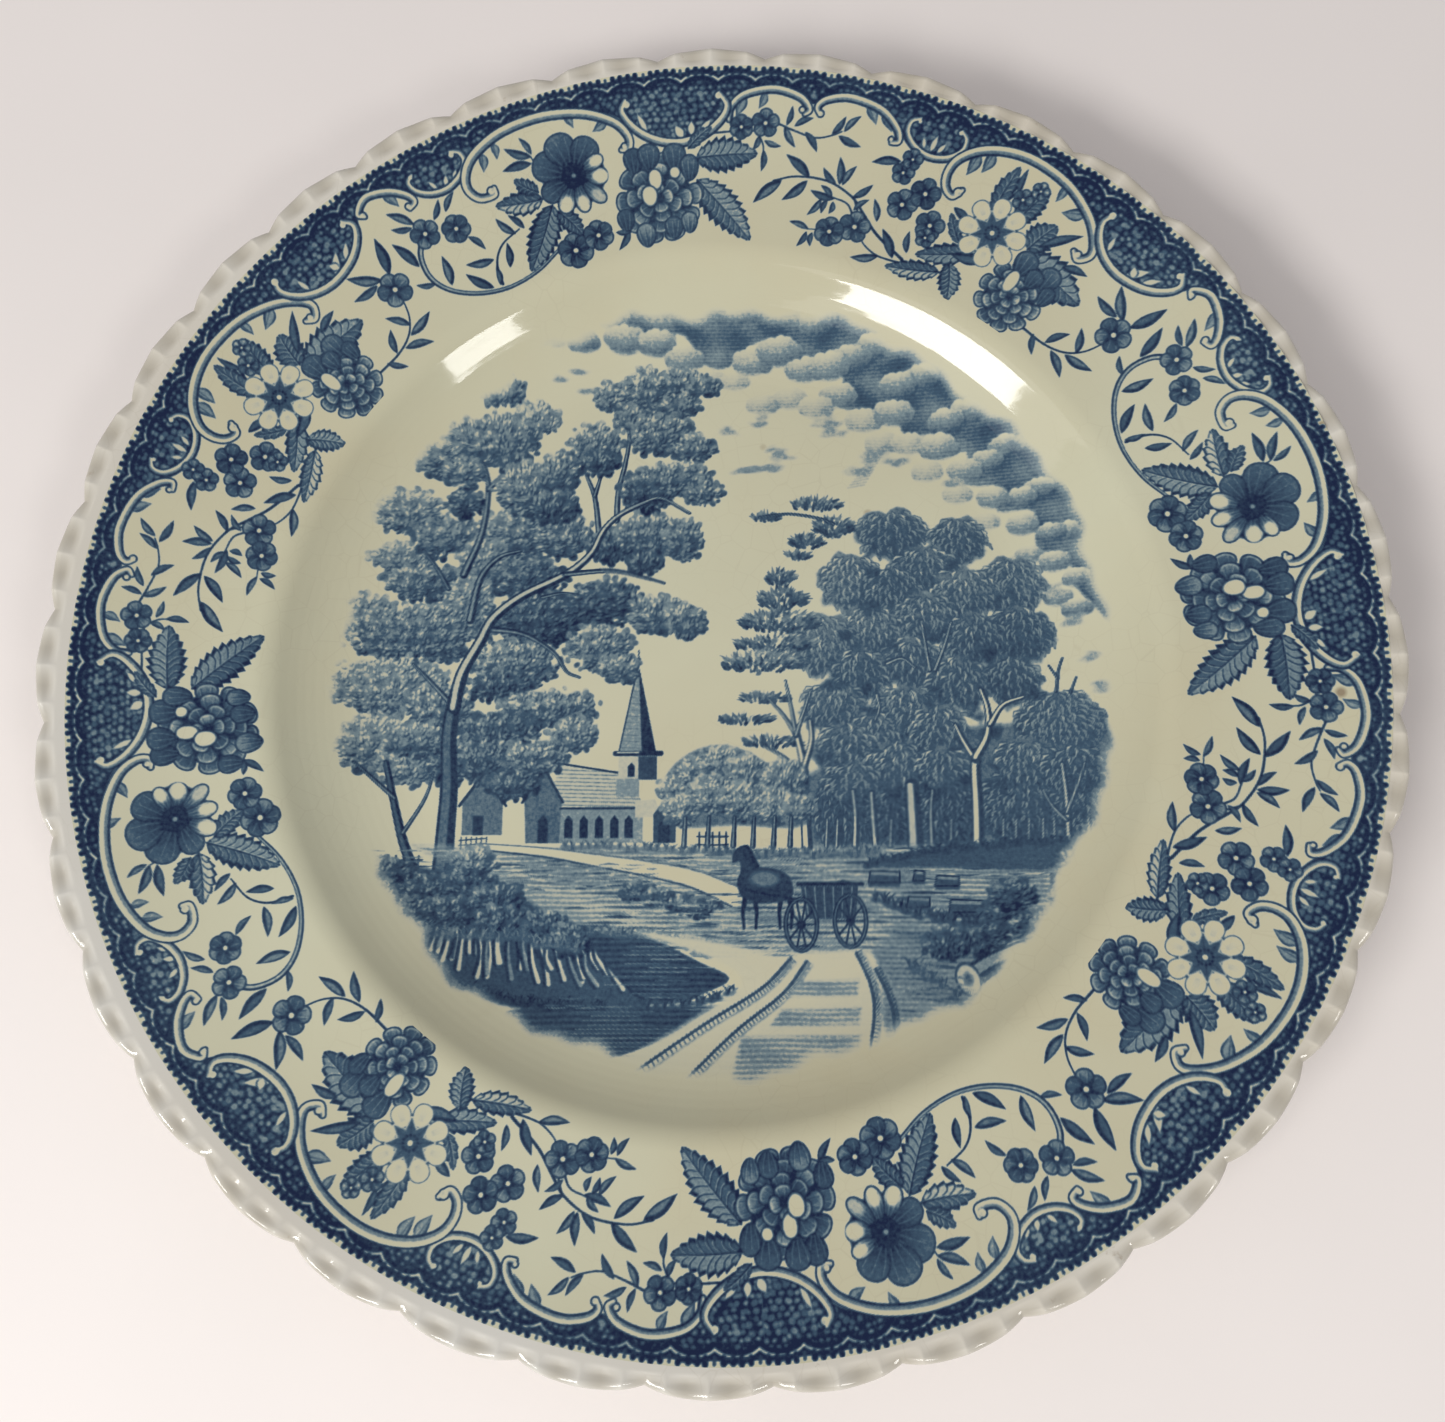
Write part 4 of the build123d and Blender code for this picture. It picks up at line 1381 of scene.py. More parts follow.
GROVE_TWIGS: tuple[Bough, ...] = (
    Bough(((23, 31.4), (20, 32.6), (14, 33.6), (8, 33)), 0.5, 0.3),
    Bough(((66, -3.6), (66.6, 0.6), (67.4, 3)), 0.5, 0.3), Bough(((66.4, -1), (64.8, 1.6)), 0.4, 0.25),
    Bough(((68.6, -4), (69.8, -1)), 0.4, 0.25),
)


@dataclass(frozen=True)
class Sky:
    """The banks of cloud along the top and right of the scene."""

    def draw(self, sheet: Sheet, rng: np.random.Generator) -> None:
        """Cut the clouds into a sheet."""
        sheet.fill(rounded(CLOUD_BANK), self.mottle, soft=0.8)
        for x, y, size in CLOUD_PUFFS:
            self.puff(sheet, x, y, size, rng)
        for x, y, wide, tall in CLOUD_SHADES:
            for _ in range(int(wide * 5)):
                spot = (x + rng.normal(0, wide * 0.42), y + rng.normal(0, tall * 0.4))
                sheet.dot(*spot, rng.uniform(0.3, 0.6), rng.uniform(0.22, 0.4), stretch=2.6,
                          turn=rng.normal(0.1, 0.2), cover=0.55, soft=0.6)
        for share in np.arange(14) / 13:
            path = ((26 + 6 * share, 39 + 8 * share), (29.4 + 5 * share, 39.6 + 8.6 * share))
            sheet.stroke(path, 0.4, Tone.PALE, 0.7, soft=0.3)

    @staticmethod
    def mottle(x: Array, y: Array) -> Array:
        """Give the uneven tone of a cloud bank."""
        wave = np.sin(x * 0.71 + 1.3 * np.sin(y * 0.43)) + np.sin(y * 0.9 + 0.8 * np.sin(x * 0.37 + 1.0))
        ruled = 0.07 * np.sin(y * 9.0 + 0.6 * np.sin(x * 0.3))
        return 0.56 + 0.075 * wave + ruled

    @staticmethod
    def puff(sheet: Sheet, x: float, y: float, size: float, rng: np.random.Generator) -> None:
        """Cut one white scalloped head of cloud that darkens downwards into the bank behind it."""
        deep = 0.6 if math.hypot(x, y) > 69 else 0.5 if math.hypot(x, y) > 63 else 0.3
        top = y + size * 1.05

        def body(aside: Array, up: Array) -> Array:
            """Give the tone of the head at a point."""
            fall = np.clip((top - up) / (2.1 * size), 0, 1)
            grain = 0.05 * np.sin(9 * up + 0.7 * np.sin(0.6 * aside))
            return deep * fall**0.9 + grain * fall + 0.1 * np.clip((aside - x) / size, 0, 1)

        for index in range(9):
            turn = math.radians(205 - 29 * index + rng.uniform(-8, 8))
            reach = size * rng.uniform(0.8, 1.0)
            spot = (x + 1.25 * reach * math.cos(turn), y + 0.72 * reach * math.sin(turn))
            lobe = size * rng.uniform(0.34, 0.5)
            sheet.dot(spot[0] + 0.2, spot[1] - 0.3, lobe, deep + 0.2, cover=0.5, soft=0.7)
            sheet.dot(*spot, lobe, body, soft=0.35)
        sheet.dot(x, y - size * 0.2, size * 0.8, body, stretch=1.5, soft=1.2)


@dataclass(frozen=True)
class Village:
    """The chapel with its spire, the cottage, the fence and the gate."""

    def draw(self, sheet: Sheet, rng: np.random.Generator) -> None:
        """Cut the buildings into a sheet."""
        sheet.fill(((-38, -26), (-15, -25), (-15, -33), (-38, -33)), Tone.PALE)
        sheet.fill(((-31, -17.6), (-18.6, -19.4), (-14.6, -26), (-35, -26.2)), Tone.HAZE)
        for step in range(10):
            y = -18.6 - 0.76 * step
            path = ((-31.6 - 0.3 * step, y), (-17.4 + 0.26 * step, y - 0.5))
            sheet.stroke(path, 0.2, Tone.MID, 0.7)
        sheet.stroke(((-31, -17.4), (-20, -19.2)), 0.4, Tone.INK)
        sheet.fill(((-38.4, -24.6), (-34.6, -18.6), (-31, -24.8), (-31.4, -33), (-38, -33)), Tone.MID)
        sheet.stroke(((-38.8, -25), (-34.6, -18.2), (-30.8, -25)), 0.5, Tone.INK)
        sheet.fill(((-35.6, -33), (-35.6, -28.6), (-34.6, -27.4), (-33.6, -28.6), (-33.6, -33)), Tone.INK)
        for x in (-29.6, -26.6, -23.6, -20.6, -17.8):
            window = ((x - 0.8, -32), (x - 0.8, -28.6), (x, -27.6), (x + 0.8, -28.6), (x + 0.8, -32))
            sheet.fill(window, Tone.INK)
        sheet.stroke(((-31.2, -26.2), (-14.6, -26.2)), 0.4, Tone.INK)
        sheet.fill(((-16.6, -24.8), (-12.6, -24.4), (-11.4, -28), (-16.6, -28)), Tone.HAZE)
        sheet.fill(((-13, -33), (-13, -27.4), (-11, -25), (-8.6, -27.6), (-8.6, -33)), Tone.DEEP)
        sheet.fill(((-12, -33), (-12, -29.6), (-10.9, -28.4), (-9.8, -29.6), (-9.8, -33)), Tone.INK)
        sheet.fill(((-20, -20.6), (-20, -16), (-16, -16), (-16, -20.6)), Tone.HAZE)
        sheet.fill(((-16, -20.6), (-16, -16), (-12.4, -16), (-12.4, -20.6)), Tone.DEEP)
        sheet.fill(((-20.4, -20.4), (-20.4, -24), (-15.8, -24), (-15.8, -20.4)), Tone.PALE)
        sheet.fill(((-18.1, -20), (-18.1, -18), (-17.4, -17.2), (-16.8, -18), (-16.8, -20)), Tone.INK)
        sheet.fill(((-16.2, 2.6), (-19.8, -15), (-15.4, -15)), Tone.PALE)
        sheet.fill(((-16.2, 2.6), (-15.4, -15), (-12.6, -15)), Tone.INK)
        for step in range(12):
            y = -14.2 + 1.26 * step
            half = 3.6 * (2.6 - y) / 17.6
            sheet.stroke(((-16.2 - half, y), (-15.9, y - 0.1)), 0.16, Tone.MID, 0.7)
        sheet.stroke(((-16.2, 3), (-19.9, -15)), 0.26, Tone.INK)
        sheet.stroke(((-20.6, -15.4), (-11.6, -15.4)), 1.0, Tone.INK)
        sheet.stroke(((-20.2, -15.2), (-16, -15.2)), 0.34, Tone.HAZE)
        sheet.dot(-16.2, 3.6, 0.42, Tone.INK)
        sheet.stroke(((-16.2, 3), (-16.2, 5.4)), 0.26, Tone.INK)
        sheet.fill(((-50.6, -25), (-46.8, -20), (-42.6, -25), (-42.6, -31.4), (-50.6, -31.4)), Tone.MID)
        sheet.stroke(((-51.2, -25.6), (-46.8, -19.6), (-42, -25.6)), 0.6, Tone.INK)
        sheet.fill(((-48.4, -31.4), (-48.4, -27.6), (-46.4, -27.6), (-46.4, -31.4)), Tone.INK)
        for step in range(6):
            sheet.stroke(((-51, -32.4 - step), (-45.6, -32 - step)), 0.28, Tone.DEEP)
            sheet.stroke(((-50.8 + step, -38), (-50.6 + step, -31.8)), 0.28, Tone.DEEP)
        for step in range(9):
            x = -70 + 1.4 * step
            sheet.stroke(((x, -40), (x + 0.1, -35.4)), 0.36, Tone.DEEP)
        for y in (-36.6, -38.6):
            sheet.stroke(((-71, y), (-58, y + 0.4)), 0.34, Tone.DEEP)
        for step in range(5):
            sheet.stroke(((-4 + 1.3 * step, -34.6), (-4 + 1.3 * step, -31)), 0.34, Tone.INK)
        for y in (-31.8, -33.4):
            sheet.stroke(((-4.4, y), (1.6, y)), 0.3, Tone.INK)
        bushes = ((-11, -27), (-10.6, -20), (-6, -15.4), (0, -13.8), (6, -15.4), (9, -17.4), (13, -16.8),
                  (17, -19), (17, -29.4), (3, -29.6), (-8, -30))
        sheet.fill(rounded(bushes), Tone.MID, 0.9, soft=0.8)
        for x, y, wide in (
            (-8, -22.6, 4), (-5, -19, 3.6), (0, -17.6, 4.4), (5.4, -19, 4), (12.6, -20.6, 4.6),
            (-7.6, -26.6, 3.6), (-1.4, -23.6, 4.6), (5, -25, 4.6), (10.6, -26, 4), (15, -26.4, 3.4),
        ):
            Clump(x, y, wide, wide * 0.8, Light.BRIGHT, 0.85).draw(sheet, rng)
        for x in (-7, -2.4, 2.6, 6.4, 10.4, 13.6):
            Bough(((x, -33.6), (x + 0.3, -28)), 0.9, 0.5).draw(sheet)


@dataclass(frozen=True)
class Foreground:
    """The path, the banks, the pools, the road with its ruts, the cart and the fallen log."""

    def draw(self, sheet: Sheet, rng: np.random.Generator) -> None:
        """Cut the foreground into a sheet."""
        field = ((-60, -33.4), (-20, -34), (16, -34.4), (40, -33.6), (79, -33), (76, -44), (66, -52),
                 (52, -54), (33, -55), (10, -54), (-6, -53), (-26, -50.4), (-40, -44))
        sheet.fill(field, self.ruled, 0.9, soft=1.6)
        Hatch(-70, 74, -41, -34, Tone.MID, 0.9, 5).draw(sheet, rng)
        rise = [(28, -37.6), (40, -34.6), (56, -33), (78, -32.6), (76, -38.4), (60, -38.6), (44, -37.8)]
        sheet.fill(rounded(rise), Tone.DEEP - 0.08, 0.85, soft=0.8)
        Tufts(((28, -37.4), (40, -34.6), (56, -33.4), (74, -33)), 1.2, 1.2, Tone.DEEP).draw(sheet, rng)
        path = smooth(((-47, -33.6), (-34, -34.8), (-25, -36.2), (-14, -38), (-5, -40), (3, -43.4)), 6)
        sheet.stroke(path, np.linspace(1.0, 3.6, len(path)), Tone.BARE, 0.97, soft=0.6)
        sheet.stroke(shifted(path, np.linspace(-0.6, -2.0, len(path))), 0.35, Tone.DEEP)
        sheet.stroke(shifted(path, np.linspace(0.6, 2.0, len(path))), 0.25, Tone.MID)
        Tufts(((-30, -33.6), (-8, -34.4), (6, -35.4), (30, -35.4)), 1.4, 1.5, Tone.MID).draw(sheet, rng)
        Hatch(-44, -12, -42, -36.6, Tone.MID, 0.8, 4).draw(sheet, rng)
        for x, y in ((-16, -42.4), (-11.6, -43.6), (-7, -44.6), (-3.4, -45.4)):
            Clump(x, y, 3, 1.6, Light.SHADED).draw(sheet, rng)
        Hatch(-30, 52, -54.6, -42, Tone.MID + 0.06, 0.92, 9, -0.01, 0.5).draw(sheet, rng)
        Hatch(-30, 48, -54, -43, Tone.BARE, 2.4, 5, 0.0, 0.5).draw(sheet, rng)
        self.bank(sheet, rng)
        self.pool_and_shade_amounts(sheet, rng)
        self.road(sheet, rng)
        self.cart(sheet)
        self.stones(sheet, rng)

    @staticmethod
    def ruled(x: Array, y: Array) -> Array:
        """Give the tone of ground ruled with level lines."""
        return 0.34 + 0.12 * np.sin(y * 6.6 + 0.5 * np.sin(x * 0.4)) + 0.05 * np.sin(x * 0.31 + y * 0.7)

    @staticmethod
    def still(x: Array, y: Array) -> Array:
        """Give the tone of still water."""
        return 0.84 + 0.1 * np.sin(5.6 * y + 0.4 * np.sin(0.5 * x))

    @staticmethod
    def bank(sheet: Sheet, rng: np.random.Generator) -> None:
        """Cut the shrubs on the left and the steep bank with its pale roots and rocks."""
        slope = ((-70, -36), (-56, -38), (-44, -40), (-36, -45), (-26, -49.6), (-24, -53), (-16, -59),
                 (-15, -63.6), (-26, -64.6), (-40, -64), (-52, -60), (-62, -52), (-70, -44))
        sheet.fill(rounded(slope), Tone.DEEP, 0.95, soft=1.0)
        for step in range(46):
            share = step / 45
            x = -62 + 44 * share + rng.normal(0, 0.6)
            y = -47 - 7.6 * share + rng.normal(0, 1.0)
            fall = rng.uniform(3.6, 8.4)
            lean = -0.3 + 0.9 * share
            path = smooth(((x, y), (x + lean * fall * 0.3 + rng.normal(0, 0.3), y - fall * 0.5),
                           (x + lean * fall, y - fall)), 4)
            sheet.stroke(path, np.linspace(0.5, 1.1, len(path)), Tone.INK, 0.8)
            lit = Tone.BARE if step % 3 else Tone.PALE
            sheet.stroke(shifted(path, 0.5), np.linspace(0.3, 0.85, len(path)), lit, 0.85, soft=0.3)
        for x, y, wide in (
            (-64, -39, 5), (-57, -42, 5.4), (-49, -40.4, 5), (-43, -43.6, 5), (-52, -46, 5.6),
            (-60, -46.6, 4.6), (-42, -48, 5), (-34, -49, 4.6), (-29, -51.6, 3.8), (-66, -43, 4),
        ):
            Clump(x, y, wide, 2.9, Light.SHADED).draw(sheet, rng)
        Clump(-48, -36.4, 4.4, 2.6).draw(sheet, rng)
        Clump(-70, -38, 4, 3).draw(sheet, rng)
        Tufts(((-66, -48), (-54, -50.4), (-40, -51.6), (-28, -53.6)), 2.2, 1.2, Tone.MID).draw(sheet, rng)
        Tufts(((-62, -54), (-50, -60.4), (-38, -63.8), (-22, -64.6)), 1.8, 1.1, Tone.INK).draw(sheet, rng)

    @staticmethod
    def pool_and_shade_amounts(sheet: Sheet, rng: np.random.Generator) -> None:
        """Cut the two still pools."""
        for outline in (
            ((-25, -51), (-18, -50.6), (-12, -52), (-4, -56), (1.5, -58.8), (-3, -61.3), (-7, -63),
             (-14, -63), (-20, -58)),
            ((-40, -65), (-24, -64.6), (-8, -64.4), (0.5, -64.6), (-8, -69), (-25, -74), (-36, -70)),
        ):
            shape = rounded(outline)
            sheet.fill(shape, Foreground.still, 0.96, soft=0.7)
            sheet.stroke(np.vstack([shape, shape[:1]]), 0.5, Tone.INK, 0.7, soft=0.4)
            low, high = shape.min(axis=0), shape.max(axis=0)
            for y in np.arange(low[1] + 1, high[1] - 0.4, 0.8):
                reach = rng.uniform(0.3, 0.8)
                middle = (low[0] + high[0]) / 2 + rng.normal(0, 2)
                half = (high[0] - low[0]) / 2 * reach * 0.7
                sheet.stroke(((middle - half, y), (middle + half, y)), 0.24, rng.uniform(0.3, 0.6), 0.8)
        Hatch(-34, 8, -64.4, -62.6, Tone.MID, 0.6, 5).draw(sheet, rng)
        Tufts(((-24, -50.4), (-12, -50.8), (-2, -54.6)), 1.8, 1.4, Tone.MID).draw(sheet, rng)
        Tufts(((-22, -62), (-14, -64.6), (-4, -63.6), (4, -61)), 1.6, 1.5, Tone.DEEP).draw(sheet, rng)

    @staticmethod
    def road(sheet: Sheet, rng: np.random.Generator) -> None:
        """Cut the pale road, its ruts and the shadows across it."""
        verge = ((34, -50), (52, -53), (58, -58), (50, -66), (38, -74), (10, -79), (-10, -79), (4, -70),
                 (24, -60))
        sheet.fill(rounded(verge), lambda x, y: Foreground.ruled(x, y) + 0.14, 0.9, soft=2.0)
        road = ((-16, -50), (2, -52.4), (12, -54.6), (26, -53.4), (30, -56), (30.6, -66), (28, -79),
                (-22, -79), (-8, -68), (4, -60), (-2, -55))
        sheet.fill(rounded(road), Tone.HAZE * 0.5, 0.95, soft=1.2)
        for rut in (
            ((13.6, -55), (8, -60.6), (-3, -67.4), (-16, -76)),
            ((26, -54), (28.6, -60), (29, -66), (26.6, -78)),
            ((29.6, -57), (32.2, -63), (32.6, -69), (30.6, -77)),
            ((16.6, -55.6), (12, -61.6), (3, -68.6), (-6, -77)),
        ):
            path = smooth(rut, 16)
            sheet.stroke(path, 0.5, Tone.DEEP, 0.9)
            for spot, side in zip(path, normals_of(path)):
                edge = spot + side * rng.uniform(0.8, 1.2)
                sheet.stroke((spot - side * 0.3, edge), 0.3, Tone.DEEP, 0.7)
            sheet.stroke(shifted(path, 1.3), 0.5, Tone.PALE, 0.7, soft=0.4)
        for low, high, left, right in ((-62.2, -59.4, 13, 26.4), (-67.6, -64.6, 9.6, 26.6),
                                       (-78, -69.6, 2, 26.4)):
            band = [(left, low), (left + 2.2, high), (right, high + 0.4), (right - 0.4, low + 0.3)]
            sheet.fill(band, Foreground.ruled, 0.9, soft=0.9)
        Hatch(36, 54, -70, -55, Tone.MID, 0.7, 5, -0.08, 0.4).draw(sheet, rng)

    @staticmethod
    def cart(sheet: Sheet) -> None:
        """Cut the two wheeled cart and its horse."""
        ring = np.linspace(0, 2 * math.pi, 24)
        body = ((3.4, -40), (5.6, -38), (10, -38), (13.4, -39.6), (13.8, -43.6), (9, -44.6), (4.4, -43.6))
        head = ((4, -41), (6.6, -39.6), (7.6, -38), (5.6, -33.6), (3, -34.4), (2.4, -36.8), (4, -36.8))
        for x, lean in ((5, -0.6), (6.6, 0.5), (11.8, -0.4), (13.2, 0.7)):
            sheet.stroke(((x, -43), (x + lean, -46.4), (x + lean * 0.6, -49.4)), (1.1, 0.7, 0.5), Tone.INK)
        for outline in (body, head):
            sheet.fill(rounded(outline), Tone.DEEP + 0.06)
        sheet.dot(8.6, -40, 1.5, Tone.PALE, stretch=1.9, cover=0.7, soft=0.7)
        sheet.stroke(((5.2, -33.6), (7.2, -37.6)), (0.4, 0.9), Tone.INK)
        sheet.stroke(((4.4, -42), (15, -44), (25, -44)), 0.5, Tone.INK)
        sheet.fill(((15.6, -41.4), (26.6, -41.4), (26, -47.6), (16.6, -47.6)), Tone.DEEP)
        for step in range(6):
            sheet.stroke(((16.4 + 1.8 * step, -41.6), (17 + 1.6 * step, -47.4)), 0.3, Tone.PALE, 0.8)
        sheet.stroke(((15, -41), (27.4, -41)), 0.7, Tone.INK)
        for x, y in ((25, -48), (15.6, -48.7)):
            wheel = np.stack([x + 3.0 * np.cos(ring), y + 4.9 * np.sin(ring)], axis=1)
            for turn in np.arange(0, math.pi, math.pi / 5):
                reach = np.array([3.0 * math.cos(turn), 4.9 * math.sin(turn)])
                sheet.stroke(((x, y) - reach, (x, y) + reach), 0.36, Tone.INK)
            sheet.stroke(wheel, 0.85, Tone.INK)
            sheet.stroke(wheel, 0.24, Tone.PALE, 0.7)
            sheet.dot(x, y, 0.9, Tone.INK)

    @staticmethod
    def stones(sheet: Sheet, rng: np.random.Generator) -> None:
        """Cut the blocks of stone, the post, the shrubs and the fallen log."""
        for x, y, wide, tall in ((31.6, -39.6, 6, 2.2), (38.2, -39.4, 2.2, 2), (43.6, -40.4, 4.6, 2),
                                 (47, -45.2, 6.4, 2.4), (38, -44.4, 4.4, 2)):
            block = np.array([(x - wide / 2, y - tall / 2), (x - wide / 2 + 0.4, y + tall / 2),
                              (x + wide / 2, y + tall / 2 - 0.2), (x + wide / 2, y - tall / 2)])
            sheet.fill(block, Tone.PALE)
            sheet.fill(block - [0, tall * 0.36], Tone.DEEP, 0.8, soft=0.3)
            sheet.stroke(np.vstack([block, block[:1]]), 0.3, Tone.INK)
        sheet.stroke(((63, -48.6), (63.2, -39.6)), 1.1, Tone.INK)
        for x, y in ((54, -47), (59, -49), (66, -44), (56, -43), (68, -37.6), (49.6, -51), (43, -52)):
            Clump(x, y, 4.2, 3, Light.SHADED).draw(sheet, rng)
        Tufts(((30, -44), (40, -47.6), (50, -48.6)), 2.2, 1.3).draw(sheet, rng)
        Tufts(((36, -57), (44, -62), (46, -67)), 2.4, 1.3, Tone.MID).draw(sheet, rng)
        Bough(((56.6, -53.4), (51, -56), (46.8, -58.8)), 3.2, 4.2).draw(sheet)
        for size, tone, soft in ((2.3, Tone.DEEP, 0.3), (1.95, Tone.HAZE, 0.3), (0.8, Tone.MID, 0.8)):
            sheet.dot(46.6, -58.9, size, tone, stretch=1.4, turn=math.radians(105), soft=soft)
        Hatch(33, 50, -72, -58, Tone.MID, 0.9, 5, -0.06, 0.42).draw(sheet, rng)


@dataclass(frozen=True)
class Scene:
    """The whole scene of the well, faded out towards its edge.

    Args:
        reach: Radius where the scene has faded out.
        seed: Seed of the foliage and the grass.
    """

    reach: float = 78.4
    seed: int = 11

    def draw(self, sheet: FlatSheet) -> None:
        """Cut the scene into a sheet, from the sky forwards."""
        rng = np.random.default_rng(self.seed)
        Sky().draw(sheet, rng)
        haze = ((17, -34), (17, -20), (30, -12), (56, -10), (74, -8), (78, -22), (75, -34))
        sheet.fill(haze, Tone.MID, 0.85, soft=1.5)
        for crown in GROVE:
            crown.draw(sheet, rng)
        for x, y, size in GROVE_GAPS:
            for _ in range(5):
                spot = (x + rng.normal(0, size * 0.5), y + rng.normal(0, size * 0.4))
                sheet.dot(*spot, size * rng.uniform(0.2, 0.42), Tone.DEEP + 0.04, stretch=1.8,
                          turn=rng.uniform(0, 3), cover=0.5, soft=0.8)
        for fir in FIRS:
            fir.draw(sheet, rng)
        for points, thick, thin, lit in GROVE_TRUNKS:
            Bough(points, thick, thin, Tone.DEEP, lit).draw(sheet)
        for twig in GROVE_TWIGS:
            twig.draw(sheet)
        for x in (20.6, 22.6, 33, 44.6, 54.6, 57, 59.4, 62, 64, 70, 72.4):
            Bough(((x, -33.8), (x + 0.3, -28.6)), 0.7, 0.5, Tone.DEEP, Tone.HAZE).draw(sheet)
        Village().draw(sheet, rng)
        for clump in OAK_BACK:
            clump.draw(sheet, rng)
        for bough in OAK_BOUGHS:
            bough.draw(sheet)
        for clump in OAK_FRONT:
            clump.draw(sheet, rng)
        for bough in OAK_BOUGHS[:2] + OAK_BOUGHS[9:11]:
            bough.draw(sheet)
        Foreground().draw(sheet, rng)
        self.fade(sheet)

    def fade(self, sheet: FlatSheet) -> None:
        """Let the drawing thin out round its edge."""
        radius = np.hypot(sheet.x, sheet.y)
        turn = np.arctan2(sheet.y, sheet.x)
        wander = 1.1 * np.sin(turn * 9) + 0.8 * np.sin(turn * 23 + 1) + 0.5 * np.sin(turn * 57 + 2)
        sheet.ink *= 1 - ramp(self.reach - 4.2, self.reach - 0.4, radius + wander * 0.8)


# ---- the plate's shape
QUARTER = math.pi / 2
RIM_RISE = math.radians(16.3)
BEYOND = 134.0  # a radius clear of the edge, where the lines of the section may end


def filleted(corners: Sequence[Point], radii: Sequence[float], steps: int = 14) -> Array:
    """Round the inner corners of an open line.

    Args:
        corners: The corners in order, ends included.
        radii: Fillet radius of each inner corner.
        steps: Samples along each fillet.

    Returns:
        The samples of the rounded line.
    """
    knots = np.array(corners, float)
    line = [knots[0]]
    for before, corner, after, radius in zip(knots, knots[1:], knots[2:], radii):
        back = (before - corner) / np.hypot(*(before - corner))
        ahead = (after - corner) / np.hypot(*(after - corner))
        half = math.acos(np.clip(np.dot(back, ahead), -1, 1)) / 2
        reach = radius / math.tan(half)
        middle = corner + (back + ahead) / np.hypot(*(back + ahead)) * radius / math.sin(half)
        start, end = corner + back * reach - middle, corner + ahead * reach - middle
        sweep = math.atan2(start[0] * end[1] - start[1] * end[0], float(np.dot(start, end)))
        for share in np.linspace(0, 1, steps):
            line.append(Placing(*middle, sweep * share).out(start[None])[0])
    line.append(knots[-1])
    return np.array(line)


@dataclass(frozen=True)
class Form:
    """The shape of the plate's section and of its scalloped outline.

    Args:
        crest: Radius of the plate at the crests of its scallops.
        fringe: Radius of the tips of the printed fringe.
        well: Height of the well's surface.
        recess: Height of the underside inside the foot ring.
        foot: Outer radius of the foot ring.
        foot_inner: Inner radius of the foot ring.
        scallops: Number of scallops round the edge.
        scallop_depth: How far the edge falls back between crests.
        flutes: Number of flutes to each scallop.
        flute_depth: Depth of a flute at the edge.
        wall: Thickness of the rim.
        ease: Radius that rounds the edge.
    """

    crest: float
    fringe: float
    well: float
    recess: float
    foot: float = 79.4
    foot_inner: float = 75.8
    scallops: int = 36
    scallop_depth: float = 1.7
    flutes: int = 3
    flute_depth: float = 0.62
    wall: float = 4.3
    ease: float = 1.3

    def rim(self, radius: Array | float) -> Array | float:
        """Return the height of the rim's straight slope at a radius."""
        return 20.1 + (radius - 106.0) * math.tan(RIM_RISE)

    def face(self) -> Array:
        """Return the section of the face from the axis to beyond the edge."""
        edge = (BEYOND, self.rim(BEYOND))
        corners = [(0, self.well), (73.48, self.well), (86.2, 17.9), (106, 20.1), edge]
        return filleted(corners, (34, 9, 140))

    def back(self) -> Array:
        """Return the section of the underside from the foot ring to beyond the edge."""
        edge = (BEYOND, self.rim(BEYOND) - self.wall - 0.3)
        corners = [(self.foot - 0.4, 0.8), (self.foot + 0.8, 5.4), (87.8, 13.6), (107, 15.8), edge]
        return filleted(corners, (1.2, 12, 120), 10)

    def height(self, radius: Array) -> Array:
        """Return the height of the face at any radius."""
        line = self.face()
        return np.interp(radius, line[:, 0], line[:, 1])

    def slope(self, radius: Array) -> Array:
        """Return the rise of the face for each unit outwards, eased over a short reach."""
        return (self.height(radius + 0.35) - self.height(np.maximum(radius - 0.35, 0))) / 0.7

    def outline(self, turn: Array) -> Array:
        """Return the radius of the edge at an angle in radians."""
        lobe = 2 * math.pi / self.scallops
        share = np.abs((turn / lobe + 0.5) % 1.0 - 0.5) * 2
        return self.crest - self.scallop_depth * (0.75 * share**2 + 0.25 * share**4)

    def flute(self, turn: Array) -> Array:
        """Return how deep the flutes cut at an angle, from 0 on a ridge to 1 in a groove."""
        count = self.scallops * self.flutes
        share = np.abs((turn * count / (2 * math.pi)) % 1.0 - 0.5) * 2
        return 1 - share**1.6


def off_centre(radius: float, drift: Point, turn: Array) -> Array:
    """Return how far a circle laid off the plate's centre lies from that centre.

    Args:
        radius: Radius of the circle.
        drift: Its centre.
        turn: Angles round the plate, in radians.

    Returns:
        The distance at each angle.
    """
    along = drift[0] * np.cos(turn) + drift[1] * np.sin(turn)
    across = drift[1] * np.cos(turn) - drift[0] * np.sin(turn)
    return along + np.sqrt(radius**2 - across**2)


